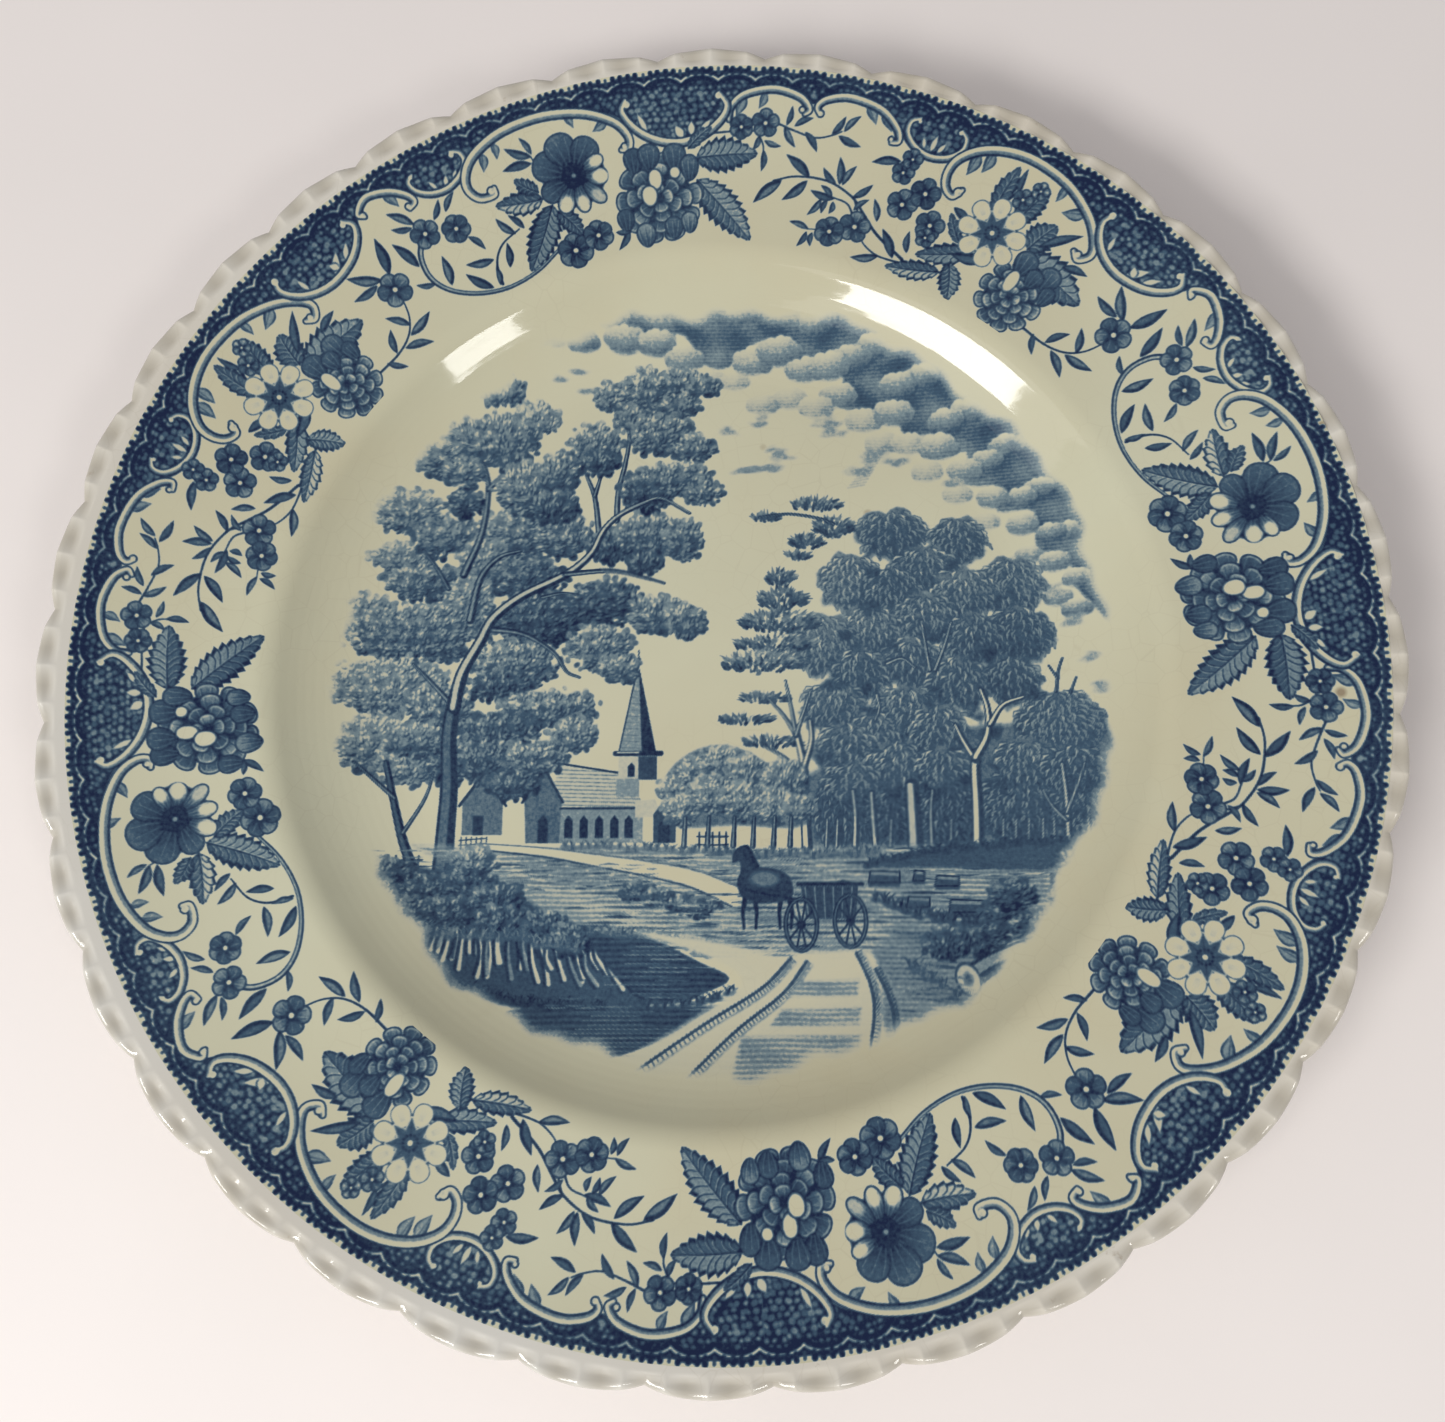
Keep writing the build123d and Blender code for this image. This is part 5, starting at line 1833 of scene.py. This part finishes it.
class Shell:
    """Builds glazed surfaces as meshes, from grids of points with their normals."""

    @staticmethod
    def grid(name: str, points: Array, normals: Array | None = None, values: Array | None = None,
             wrap: bool = False, bake: bool = True, down: bool = False) -> bpy.types.Object:
        """Make a mesh from a grid of points.

        Args:
            name: Name of the piece.
            points: Rows by columns by 3, in millimetres.
            normals: The normal at each point, or none for the mesh's own.
            values: Ink at each point if the surface is printed, or on the fluted edge the darkening of its
                grooves, partly glaze pooling and partly painted shade.
            wrap: Whether the last column joins the first.
            bake: Whether the piece keeps a map of its own, seen from above.
            down: Whether its first face looks down.

        Returns:
            The new object, in metres.
        """
        rows, columns = points.shape[:2]
        index = np.arange(rows * columns).reshape(rows, columns)
        if wrap:
            index = np.hstack([index, index[:, :1]])
        faces = np.stack([index[:-1, :-1], index[:-1, 1:], index[1:, 1:], index[1:, :-1]], axis=-1)
        faces = faces.reshape(-1, 4)
        flat = (points.reshape(-1, 3) / 1000).astype(np.float32)
        first, second, _, last = flat[faces[0]]
        if (np.cross(second - first, last - first)[2] < 0) != down:
            faces = faces[:, ::-1]
        mesh = bpy.data.meshes.new(name)
        mesh.vertices.add(len(flat))
        mesh.vertices.foreach_set("co", flat.ravel())
        mesh.loops.add(faces.size)
        mesh.loops.foreach_set("vertex_index", faces.ravel().astype(np.int32))
        mesh.polygons.add(len(faces))
        mesh.polygons.foreach_set("loop_start", np.arange(0, faces.size, 4, dtype=np.int32))
        mesh.update(calc_edges=True)
        mesh.polygons.foreach_set("use_smooth", np.ones(len(faces), bool))
        if values is not None:
            layer = mesh.attributes.new("ink", "FLOAT", "POINT")
            layer.data.foreach_set("value", np.clip(values, 0, 1.1).ravel().astype(np.float32))
        if bake:
            low, span = flat[:, :2].min(axis=0), float(np.ptp(flat[:, :2], axis=0).max())
            corners = ((flat[:, :2] - low) / span * 0.992 + 0.004)[faces.ravel()]
            mesh.uv_layers.new(name="OFBake").data.foreach_set("uv", corners.ravel().astype(np.float32))
        if normals is not None:
            mesh.normals_split_custom_set_from_vertices(normals.reshape(-1, 3).tolist())
        piece = bpy.data.objects.new(name, mesh)
        bpy.context.collection.objects.link(piece)
        log.info("%s: %d faces", name, len(faces))
        return piece

    @staticmethod
    def lathe_normals(form: Form, x: Array, y: Array) -> Array:
        """Return the face's own normals at points across it."""
        radius = np.maximum(np.hypot(x, y), 1e-6)
        slope = form.slope(radius)
        long = np.sqrt(1 + slope**2)
        return np.stack([-slope * x / radius / long, -slope * y / radius / long, 1 / long], axis=-1)


# ---- finishes
class Net:
    """A small helper that wires a material's nodes."""

    def __init__(self, name: str) -> None:
        """Start a material with one Principled shader.

        Args:
            name: Name of the material.
        """
        self.material = bpy.data.materials.new(name)
        self.material.use_nodes = True
        self.tree = self.material.node_tree
        self.shader = self.tree.nodes["Principled BSDF"]

    def add(self, kind: str, **settings: object) -> bpy.types.Node:
        """Add a node; settings name its properties, or its inputs when they start with in_."""
        node = self.tree.nodes.new(kind)
        for key, value in settings.items():
            if key.startswith("in_"):
                node.inputs[key[3:].replace("_", " ")].default_value = value
            else:
                setattr(node, key, value)
        return node

    def link(self, output: Socket, target: Socket) -> None:
        """Join an output to an input."""
        self.tree.links.new(output, target)

    def coordinates(self) -> Socket:
        """Return the object's own coordinates."""
        return self.add("ShaderNodeTexCoord").outputs["Object"]

    def noise(self, scale: float, detail: float = 3.0, rough: float = 0.55) -> Socket:
        """Return a noise of the object's coordinates, from 0 to 1."""
        node = self.add("ShaderNodeTexNoise", in_Scale=scale, in_Detail=detail, in_Roughness=rough)
        self.link(self.coordinates(), node.inputs["Vector"])
        return node.outputs["Fac"]

    def bump(self, height: Socket, strength: float, reach: float) -> None:
        """Roughen the shader's surface by a height."""
        node = self.add("ShaderNodeBump", in_Strength=strength, in_Distance=reach)
        self.link(height, node.inputs["Height"])
        self.link(node.outputs["Normal"], self.shader.inputs["Normal"])

    def ramp(self, value: Socket, *stops: tuple[float, tuple[float, float, float]]
             ) -> Socket:
        """Turn a value into a colour by its stops."""
        node = self.add("ShaderNodeValToRGB")
        band = node.color_ramp
        while len(band.elements) < len(stops):
            band.elements.new(1.0)
        for element, (place, colour) in zip(band.elements, stops):
            element.position = place
            element.color = (*colour, 1.0)
        self.link(value, node.inputs["Fac"])
        return node.outputs["Color"]

    def spread(self, value: Socket, low: float, high: float, start: float = 0.0, end: float = 1.0
               ) -> Socket:
        """Map a value from low..high to start..end, held at the ends."""
        node = self.add("ShaderNodeMapRange", clamp=True)
        for key, number in zip(("From Min", "From Max", "To Min", "To Max"), (low, high, start, end)):
            node.inputs[key].default_value = number
        self.link(value, node.inputs["Value"])
        return node.outputs["Result"]

    def maths(self, operation: str, first: Socket, second: object) -> Socket:
        """Combine two values."""
        node = self.add("ShaderNodeMath", operation=operation)
        self.link(first, node.inputs[0])
        if isinstance(second, (int, float)):
            node.inputs[1].default_value = second
        else:
            self.link(second, node.inputs[1])
        return node.outputs[0]

    def mix(self, share: object, first: object, second: object, blend: str = "MIX") -> Socket:
        """Mix two colours, each a socket or three numbers."""
        node = self.add("ShaderNodeMix", data_type="RGBA", blend_type=blend)
        for index, value in ((0, share), (6, first), (7, second)):
            if isinstance(value, Socket):
                self.link(value, node.inputs[index])
            elif isinstance(value, tuple):
                node.inputs[index].default_value = (*value, 1.0)
            else:
                node.inputs[index].default_value = value
        return node.outputs[2]


@dataclass(frozen=True)
class Glaze:
    """A clear glaze over cream earthenware, slightly pooling, printed in cobalt where there is ink.

    Args:
        cream: Colour of the body through the glaze.
        warm: Colour of the warmer patches.
        printed: Whether the surface carries ink.
        pool_and_shade: Whether the flute grooves are darkened, partly by glaze pooling in them and partly
            by painted shade.
        stained: How strongly the edge and the high places are stained.
        roughness: Roughness of the glaze.
    """

    cream: Point3 = (0.555, 0.545, 0.40)
    warm: Point3 = (0.50, 0.46, 0.315)
    printed: bool = False
    pool_and_shade: bool = False
    stained: float = 0.0
    roughness: float = 0.055

    def make(self, name: str) -> bpy.types.Material:
        """Build the material."""
        net = Net(name)
        body = net.mix(net.spread(net.noise(9.0, 4.0), 0.35, 0.68), self.cream, self.warm)
        shade = tuple(part * 0.93 for part in self.cream)
        cloud = net.mix(net.spread(net.noise(60.0, 3.0), 0.35, 0.7, 0, 0.35), body, shade)
        base = self.specks(net, cloud)
        base = self.crazing(net, base)
        if self.stained:
            stain = net.spread(net.noise(170.0, 5.0, 0.7), 0.66, 0.78, 0, self.stained)
            base = net.mix(stain, base, (0.24, 0.15, 0.075))
        if self.printed:
            base = self.ink(net, base)
        # Darker colour in the flute grooves, read from the edge's ink attribute: partly glaze pooling,
        # partly painted shade standing in for the flutes' own shading.
        if self.pool_and_shade:
            read = net.add("ShaderNodeAttribute", attribute_name="ink")
            base = net.mix(net.spread(read.outputs["Fac"], 0.1, 1.0, 0, 0.62), base, (0.36, 0.325, 0.26))
        net.link(base, net.shader.inputs["Base Color"])
        gloss = net.spread(net.noise(35.0, 3.0), 0.3, 0.7, self.roughness * 0.8, self.roughness * 1.35)
        net.link(gloss, net.shader.inputs["Roughness"])
        net.bump(net.noise(120.0, 2.0), 0.09, 0.0005)
        net.shader.inputs["IOR"].default_value = 1.42
        return net.material

    @staticmethod
    def specks(net: Net, base: Socket) -> Socket:
        """Scatter small brown specks of iron and pin holes."""
        cells = net.add("ShaderNodeTexVoronoi", feature="F1", in_Scale=95.0)
        net.link(net.coordinates(), cells.inputs["Vector"])
        chosen = net.add("ShaderNodeSeparateColor")
        net.link(cells.outputs["Color"], chosen.inputs["Color"])
        few = net.spread(chosen.outputs["Red"], 0.93, 0.96)
        dot = net.spread(cells.outputs["Distance"], 0.05, 0.12, 0.75, 0)
        return net.mix(net.maths("MULTIPLY", few, dot), base, (0.19, 0.13, 0.08))

    @staticmethod
    def crazing(net: Net, base: Socket) -> Socket:
        """Run a faint net of hairline cracks through patches of the glaze."""
        cells = net.add("ShaderNodeTexVoronoi", feature="DISTANCE_TO_EDGE", in_Scale=230.0)
        net.link(net.coordinates(), cells.inputs["Vector"])
        line = net.spread(cells.outputs["Distance"], 0.0, 0.03, 0.13, 0)
        patch = net.spread(net.noise(26.0, 2.0), 0.46, 0.62)
        return net.mix(net.maths("MULTIPLY", line, patch), base, (0.30, 0.25, 0.17))

    @staticmethod
    def ink(net: Net, base: Socket) -> Socket:
        """Lay the cobalt ink over the body, with the grain of the engraving."""
        read = net.add("ShaderNodeAttribute", attribute_name="ink")
        grain = net.spread(net.noise(1500.0, 2.0), 0.25, 0.75, -0.1, 0.1)
        patch = net.spread(net.noise(30.0, 3.0), 0.3, 0.7, -0.07, 0.07)
        middle = net.spread(read.outputs["Fac"], 0.05, 0.3)
        uneven = net.maths("MULTIPLY", net.maths("ADD", grain, patch), middle)
        depth = net.maths("ADD", read.outputs["Fac"], uneven)
        colour = net.ramp(
            depth,
            (0.0, (0.53, 0.52, 0.43)),
            (0.3, (0.185, 0.25, 0.272)),
            (0.6, (0.042, 0.086, 0.136)),
            (1.0, (0.001, 0.009, 0.044)),
        )
        return net.mix(net.spread(depth, 0.015, 0.3), base, colour)


@dataclass(frozen=True)
class Biscuit:
    """The bare, worn clay of the foot ring, grey where it has rubbed on tables."""

    clay: Point3 = (0.50, 0.42, 0.31)
    grime: Point3 = (0.17, 0.135, 0.10)

    def make(self, name: str) -> bpy.types.Material:
        """Build the material."""
        net = Net(name)
        dirt = net.spread(net.noise(90.0, 6.0, 0.7), 0.4, 0.72)
        colour = net.mix(dirt, self.clay, self.grime)
        net.link(colour, net.shader.inputs["Base Color"])
        net.link(net.spread(net.noise(300.0), 0.3, 0.7, 0.7, 0.95), net.shader.inputs["Roughness"])
        net.bump(net.noise(900.0, 4.0), 0.4, 0.0006)
        return net.material


# ---- the pieces
def place(piece: bpy.types.Object, node: str, finish: bpy.types.Material) -> bpy.types.Object:
    """Dress a piece and hand it to the frame in place of a CAD node.

    Args:
        piece: The mesh.
        node: Name of the node it stands for.
        finish: Its material.

    Returns:
        The same piece.
    """
    piece.data.materials.append(finish)
    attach(piece, "root")
    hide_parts(node)
    return piece


@dataclass(frozen=True)
class PrintedRim:
    """The wide rim with its printed border, made in eighths of the circle.

    Args:
        form: The plate's shape.
        inner: Radius of the inner edge of the border.
        outer: Radius of the tips of the fringe.
        drift: How far the print was laid off the plate's centre.
        repeats: How many times the border repeats.
        columns: Mesh columns in one repeat.
        rows: Mesh rows across the border.
        fine: Samples of ink to each cell of the mesh, each way.
    """

    form: Form
    inner: float
    outer: float
    drift: Point
    repeats: int = 4
    columns: int = 840
    rows: int = 172
    fine: int = 2

    def ink(self) -> Array:
        """Draw one repeat and reduce it to one value for each vertex."""
        columns, rows = self.columns * self.fine, self.rows * self.fine + 1
        sheet = BorderSheet(self.inner, self.outer, columns, rows, self.repeats)
        Border().draw(sheet, self.outer)
        wide = np.hstack([sheet.ink[:, -2:-1], sheet.ink, sheet.ink[:, 1:2]])
        soft = (wide[:, :-2] + 2 * wide[:, 1:-1] + wide[:, 2:]) / 4
        tall = np.vstack([soft[:1], soft, soft[-1:]])
        soft = (tall[:-2] + 2 * tall[1:-1] + tall[2:]) / 4
        return soft[:: self.fine, :: self.fine]

    def build(self, finish: bpy.types.Material) -> None:
        """Make and place the eighths of the rim."""
        ink = self.ink()
        radii = np.linspace(self.inner, self.outer, self.rows + 1)
        half = self.columns // 2
        span = 2 * math.pi / self.repeats
        for part in range(self.repeats * 2):
            chosen = slice(half * (part % 2), half * (part % 2) + half + 1)
            turned = math.pi - (part // 2) * span
            angles = turned - np.arange(self.columns + 1)[chosen] * span / self.columns
            turn, radius = np.meshgrid(angles, radii)
            x, y = self.drift[0] + radius * np.cos(turn), self.drift[1] + radius * np.sin(turn)
            points = np.stack([x, y, self.form.height(np.hypot(x, y))], axis=-1)[:, ::-1]
            normals = Shell.lathe_normals(self.form, x, y)[:, ::-1]
            piece = Shell.grid(f"rim_print_{part + 1}", points, normals, ink[:, chosen][:, ::-1])
            place(piece, "border_print", finish)


@dataclass(frozen=True)
class PrintedWell:
    """The flat well with its printed scene, made in quarters.

    Args:
        form: The plate's shape.
        radius: Radius of the well piece.
        drift: How far the print was laid off the plate's centre.
        cells: Mesh cells along each side of the square that is bent into the round well.
        pitch: Distance from sample to sample of the drawing.
    """

    form: Form
    radius: float
    drift: Point
    cells: int = 640
    pitch: float = 0.13

    def build(self, finish: bpy.types.Material) -> None:
        """Draw the scene, then make and place the quarters."""
        sheet = FlatSheet(math.ceil(self.radius), self.pitch)
        Scene().draw(sheet)
        line = np.linspace(-1, 1, self.cells + 1)
        across, up = np.meshgrid(line, line)
        x, y = self.round_off(across, up)
        x, y = x * self.radius, y * self.radius
        ink = sheet.sample(x - self.drift[0], y - self.drift[1])
        points = np.stack([x, y, self.form.height(np.hypot(x, y))], axis=-1)
        normals = Shell.lathe_normals(self.form, x, y)
        half = self.cells // 2
        for part, (row, column) in enumerate(((0, 0), (0, half), (half, 0), (half, half))):
            where = (slice(row, row + half + 1), slice(column, column + half + 1))
            piece = Shell.grid(f"well_print_{part + 1}", points[where], normals[where], ink[where])
            place(piece, "scene_print", finish)

    @staticmethod
    def round_off(across: Array, up: Array) -> tuple[Array, Array]:
        """Bend a square into a disc of even cells."""
        reach = np.where(np.abs(across) > np.abs(up), across, up)
        other = np.where(np.abs(across) > np.abs(up), up, across)
        turn = math.pi / 4 * other / np.where(np.abs(reach) < 1e-12, 1, reach)
        along, side = reach * np.cos(turn), reach * np.sin(turn)
        wide = np.abs(across) > np.abs(up)
        return np.where(wide, along, side), np.where(wide, side, along)


@dataclass(frozen=True)
class Cavetto:
    """The plain glazed curve between the well and the border.

    Args:
        form: The plate's shape.
        inner: Its inner radius.
        outer: Its outer radius, where the border starts.
        drift: How far the border was laid off the plate's centre.
        columns: Mesh columns round it.
        rows: Mesh rows across it.
    """

    form: Form
    inner: float
    outer: float
    drift: Point
    columns: int = 1440
    rows: int = 44

    def build(self, finish: bpy.types.Material) -> None:
        """Make and place the ring."""
        turn, share = np.meshgrid(
            np.arange(self.columns) * 2 * math.pi / self.columns, np.linspace(0, 1, self.rows + 1)
        )
        radius = self.inner + (off_centre(self.outer, self.drift, turn) - self.inner) * share
        x, y = radius * np.cos(turn), radius * np.sin(turn)
        points = np.stack([x, y, self.form.height(radius)], axis=-1)
        piece = Shell.grid("cavetto_glaze", points, Shell.lathe_normals(self.form, x, y), wrap=True)
        place(piece, "face_glaze", finish)


@dataclass(frozen=True)
class FlutedEdge:
    """The white scalloped and fluted edge, from the fringe over the nose to the underside.

    Args:
        form: The plate's shape.
        inner: Radius of the fringe, where the edge starts.
        drift: How far the border was laid off the plate's centre.
        start: Radius where the flutes begin.
        columns: Mesh columns round it.
    """

    form: Form
    inner: float
    drift: Point
    start: float = 123.4
    columns: int = 3240

    def section(self, turn: Array) -> tuple[Array, Array]:
        """Return the edge's points and how dark each groove is drawn, partly glaze pooling and partly
        painted shade, from the fringe round to the underside.
        """
        form = self.form
        reach = form.outline(turn)
        ease, wall = form.ease, form.wall
        rows = []
        inner = off_centre(self.inner, self.drift, turn)
        for share in np.linspace(0, 1, 15):
            radius = inner + (reach - ease - inner) * share
            rows.append((radius, form.rim(radius), np.clip((radius - self.start) / 1.5, 0, 1)))
        for step in np.linspace(0.12, 1, 9):
            swing = (QUARTER - RIM_RISE) * (1 - step)
            radius = reach - ease + ease * math.cos(swing)
            height = form.rim(reach - ease) - ease + ease * math.sin(swing) / math.cos(RIM_RISE)
            rows.append((radius, height, np.ones_like(turn) * (1 - 0.75 * step)))
        top = form.rim(reach - ease) - ease
        for share in (0.35, 0.7):
            rows.append((reach, top - (wall - 2 * ease) * share, 0.15 * np.ones_like(turn)))
        for step in np.linspace(0, 1, 8):
            swing = QUARTER * step
            radius = reach - ease + ease * math.cos(swing)
            height = form.rim(reach - ease) - wall + ease - ease * math.sin(swing)
            rows.append((radius, height, np.zeros_like(turn)))
        for share in np.linspace(0.2, 1, 6):
            radius = reach - ease + (form.fringe - 1 - reach + ease) * share
            rows.append((radius, form.rim(radius) - wall - 0.28 * share, np.zeros_like(turn)))
        groove = form.flute(turn)
        points = []
        pool_and_shade_amounts = []
        for radius, height, depth in rows:
            fall = height - groove * depth * form.flute_depth
            points.append(np.stack([radius * np.cos(turn), radius * np.sin(turn), fall], axis=-1))
            # Groove darkening: partly glaze pooling, partly painted shade in the flutes.
            pool_and_shade_amounts.append(groove * depth)
        return np.array(points), np.array(pool_and_shade_amounts)

    def build(self, finish: bpy.types.Material) -> None:
        """Make and place the edge."""
        turn = np.arange(self.columns) * 2 * math.pi / self.columns
        points, pool_and_shade_amounts = self.section(turn)
        # The groove darkening, painted shade in part, rides in the ink attribute.
        piece = Shell.grid("fluted_edge", points, values=pool_and_shade_amounts, wrap=True, bake=False)
        place(piece, "edge_glaze", finish)


@dataclass(frozen=True)
class Underside:
    """The back of the plate: the glazed back, the recess inside the foot ring and the foot's bare rim."""

    form: Form
    columns: int = 720

    def turned(self, name: str, line: Array, node: str, finish: bpy.types.Material, down: bool) -> None:
        """Turn a line about the axis, and place the surface.

        Args:
            name: Name of the piece.
            line: Radii and heights of the section.
            node: The node it stands for.
            finish: Its material.
            down: Whether its first face looks down.
        """
        turn = np.arange(self.columns) * 2 * math.pi / self.columns
        radius, height = line[:, :1], line[:, 1:] + 0 * turn
        points = np.stack([radius * np.cos(turn), radius * np.sin(turn), height], axis=-1)
        piece = Shell.grid(name, points, wrap=True, bake=False, down=down)
        place(piece, node, finish)

    def build(self, glaze: bpy.types.Material, clay: bpy.types.Material) -> None:
        """Make and place the three surfaces."""
        form = self.form
        back = form.back()
        back = back[back[:, 0] < form.fringe - 1]
        edge = np.array([[form.fringe - 1, float(form.rim(form.fringe - 1)) - form.wall - 0.28]])
        back = np.vstack([back, edge])
        self.turned("back_glaze_skin", self.dense(back), "back_glaze", glaze, True)
        inner = form.foot_inner
        low = form.recess
        recess = np.array([(0.02, low), (inner - 2.6, low), (inner - 1.2, low - 0.35),
                           (inner - 0.5, low - 1.2), (inner, 0.8)])
        self.turned("foot_recess_skin", self.dense(recess), "foot_recess_glaze", glaze, True)
        foot = np.array([(inner, 0.8), (inner + 0.3, 0.24), (inner + 0.8, 0), (form.foot - 0.9, 0),
                         (form.foot - 0.5, 0.24), (form.foot - 0.4, 0.8)])
        self.turned("foot_ring_clay", foot, "earthenware_body", clay, True)

    @staticmethod
    def dense(line: Array, gap: float = 0.9) -> Array:
        """Add points to a line so that none are further apart than a gap."""
        lengths = np.concatenate([[0], np.cumsum(np.hypot(*np.diff(line, axis=0).T))])
        places = np.union1d(np.linspace(0, lengths[-1], int(lengths[-1] / gap) + 2), lengths)
        return np.stack([np.interp(places, lengths, line[:, axis]) for axis in (0, 1)], axis=1)


# ---- the setting
@dataclass(frozen=True)
class Setting:
    """The pale table, the soft light and the camera.

    Args:
        camera_spot: Where the camera stands, in metres.
        tip: How far it tips away from the plate's foot, in degrees.
        lean: How far it leans to one side, in degrees.
        lens: Its focal length, in millimetres.
    """

    camera_spot: Point3 = (0.0107, -0.0548, 0.2639)
    tip: float = -10.688
    lean: float = -2.010
    lens: float = 32.9

    def floor(self) -> None:
        """Lay the pale table top."""
        bpy.ops.mesh.primitive_plane_add(size=6, location=(0, 0, -0.0002))
        table = bpy.context.object
        table.name = "table"
        net = Net("table")
        tint = net.mix(net.spread(net.noise(7.0, 3.0), 0.3, 0.7), (0.82, 0.765, 0.74), (0.78, 0.73, 0.705))
        net.link(tint, net.shader.inputs["Base Color"])
        net.shader.inputs["Roughness"].default_value = 0.6
        table.data.materials.append(net.material)

    @staticmethod
    def lamp(name: str, spot: Point3, size: Point, watts: float, colour: Point3) -> None:
        """Hang an area lamp that looks at the plate.

        Args:
            name: Its name.
            spot: Where it hangs, in metres.
            size: Its width and height, in metres.
            watts: Its power.
            colour: Its colour.
        """
        data = bpy.data.lights.new(name, "AREA")
        data.shape = "RECTANGLE"
        data.size, data.size_y = size
        data.energy = watts
        data.color = colour
        lamp = bpy.data.objects.new(name, data)
        lamp.location = spot
        lamp.rotation_mode = "QUATERNION"
        lamp.rotation_quaternion = (-Vector(spot)).to_track_quat("-Z", "Y")
        bpy.context.collection.objects.link(lamp)

    def lights(self) -> None:
        """Light the plate from its lower left, with two lamps that show in the glaze."""
        self.lamp("fill", (-1.1, -0.95, 1.5), (1.3, 1.3), 6, (1.0, 0.98, 0.95))
        self.lamp("window_left", (-0.54, -0.545, 0.775), (0.48, 0.23), 7.0, (1.0, 0.99, 0.96))
        self.lamp("window_right", (0.49, -0.555, 0.80), (0.20, 0.18), 1.8, (1.0, 0.99, 0.96))
        world = bpy.data.worlds.new("room")
        world.use_nodes = True
        bpy.context.scene.world = world
        backdrop = world.node_tree.nodes["Background"]
        backdrop.inputs["Color"].default_value = (0.98, 0.97, 1.0, 1)
        backdrop.inputs["Strength"].default_value = 0.40

    def camera(self) -> None:
        """Look down on the plate from just below its middle."""
        data = bpy.data.cameras.new("camera")
        data.lens = self.lens
        data.sensor_width = 36
        camera = bpy.data.objects.new("camera", data)
        camera.location = self.camera_spot
        tip = Matrix.Rotation(math.radians(self.tip), 3, "X")
        turn = tip @ Matrix.Rotation(math.radians(self.lean), 3, "Y")
        camera.rotation_mode = "QUATERNION"
        camera.rotation_quaternion = turn.transposed().to_quaternion()
        bpy.context.collection.objects.link(camera)
        bpy.context.scene.camera = camera
        bpy.context.scene.view_settings.view_transform = "Standard"

    def build(self) -> None:
        """Set everything round the plate."""
        self.floor()
        self.lights()
        self.camera()


def main() -> None:
    """Build the plate piece by piece, then its setting."""
    high = frame_bounds[1]
    form = Form(
        crest=high.x * 1000,
        fringe=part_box("border_print")[1].x * 1000,
        well=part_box("face_glaze")[0].z * 1000 + 0.35,
        recess=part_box("foot_recess_glaze")[1].z * 1000 - 0.35,
    )
    drift = (1.2, 0.6)
    fringe = 122.9
    printed = Glaze(printed=True).make("printed_glaze")
    plain = Glaze().make("plain_glaze")
    # The edge glaze darkens its flute grooves: partly glaze pooling, partly painted shade.
    nose = Glaze(cream=(0.64, 0.62, 0.57), warm=(0.55, 0.50, 0.41), pool_and_shade=True, stained=0.8)
    edge = nose.make("edge_glaze")
    back = Glaze(cream=(0.60, 0.57, 0.46), warm=(0.54, 0.49, 0.37), stained=0.35, roughness=0.1)
    under = back.make("back_glaze")
    clay = Biscuit().make("foot_clay")
    well_radius = 79.6
    border_inner = 87.4
    PrintedRim(form, border_inner, fringe, drift).build(printed)
    PrintedWell(form, well_radius, drift).build(printed)
    Cavetto(form, well_radius, border_inner, drift).build(plain)
    FlutedEdge(form, fringe, drift).build(edge)
    Underside(form).build(under, clay)
    Setting().build()


if __name__ == "__main__":
    main()
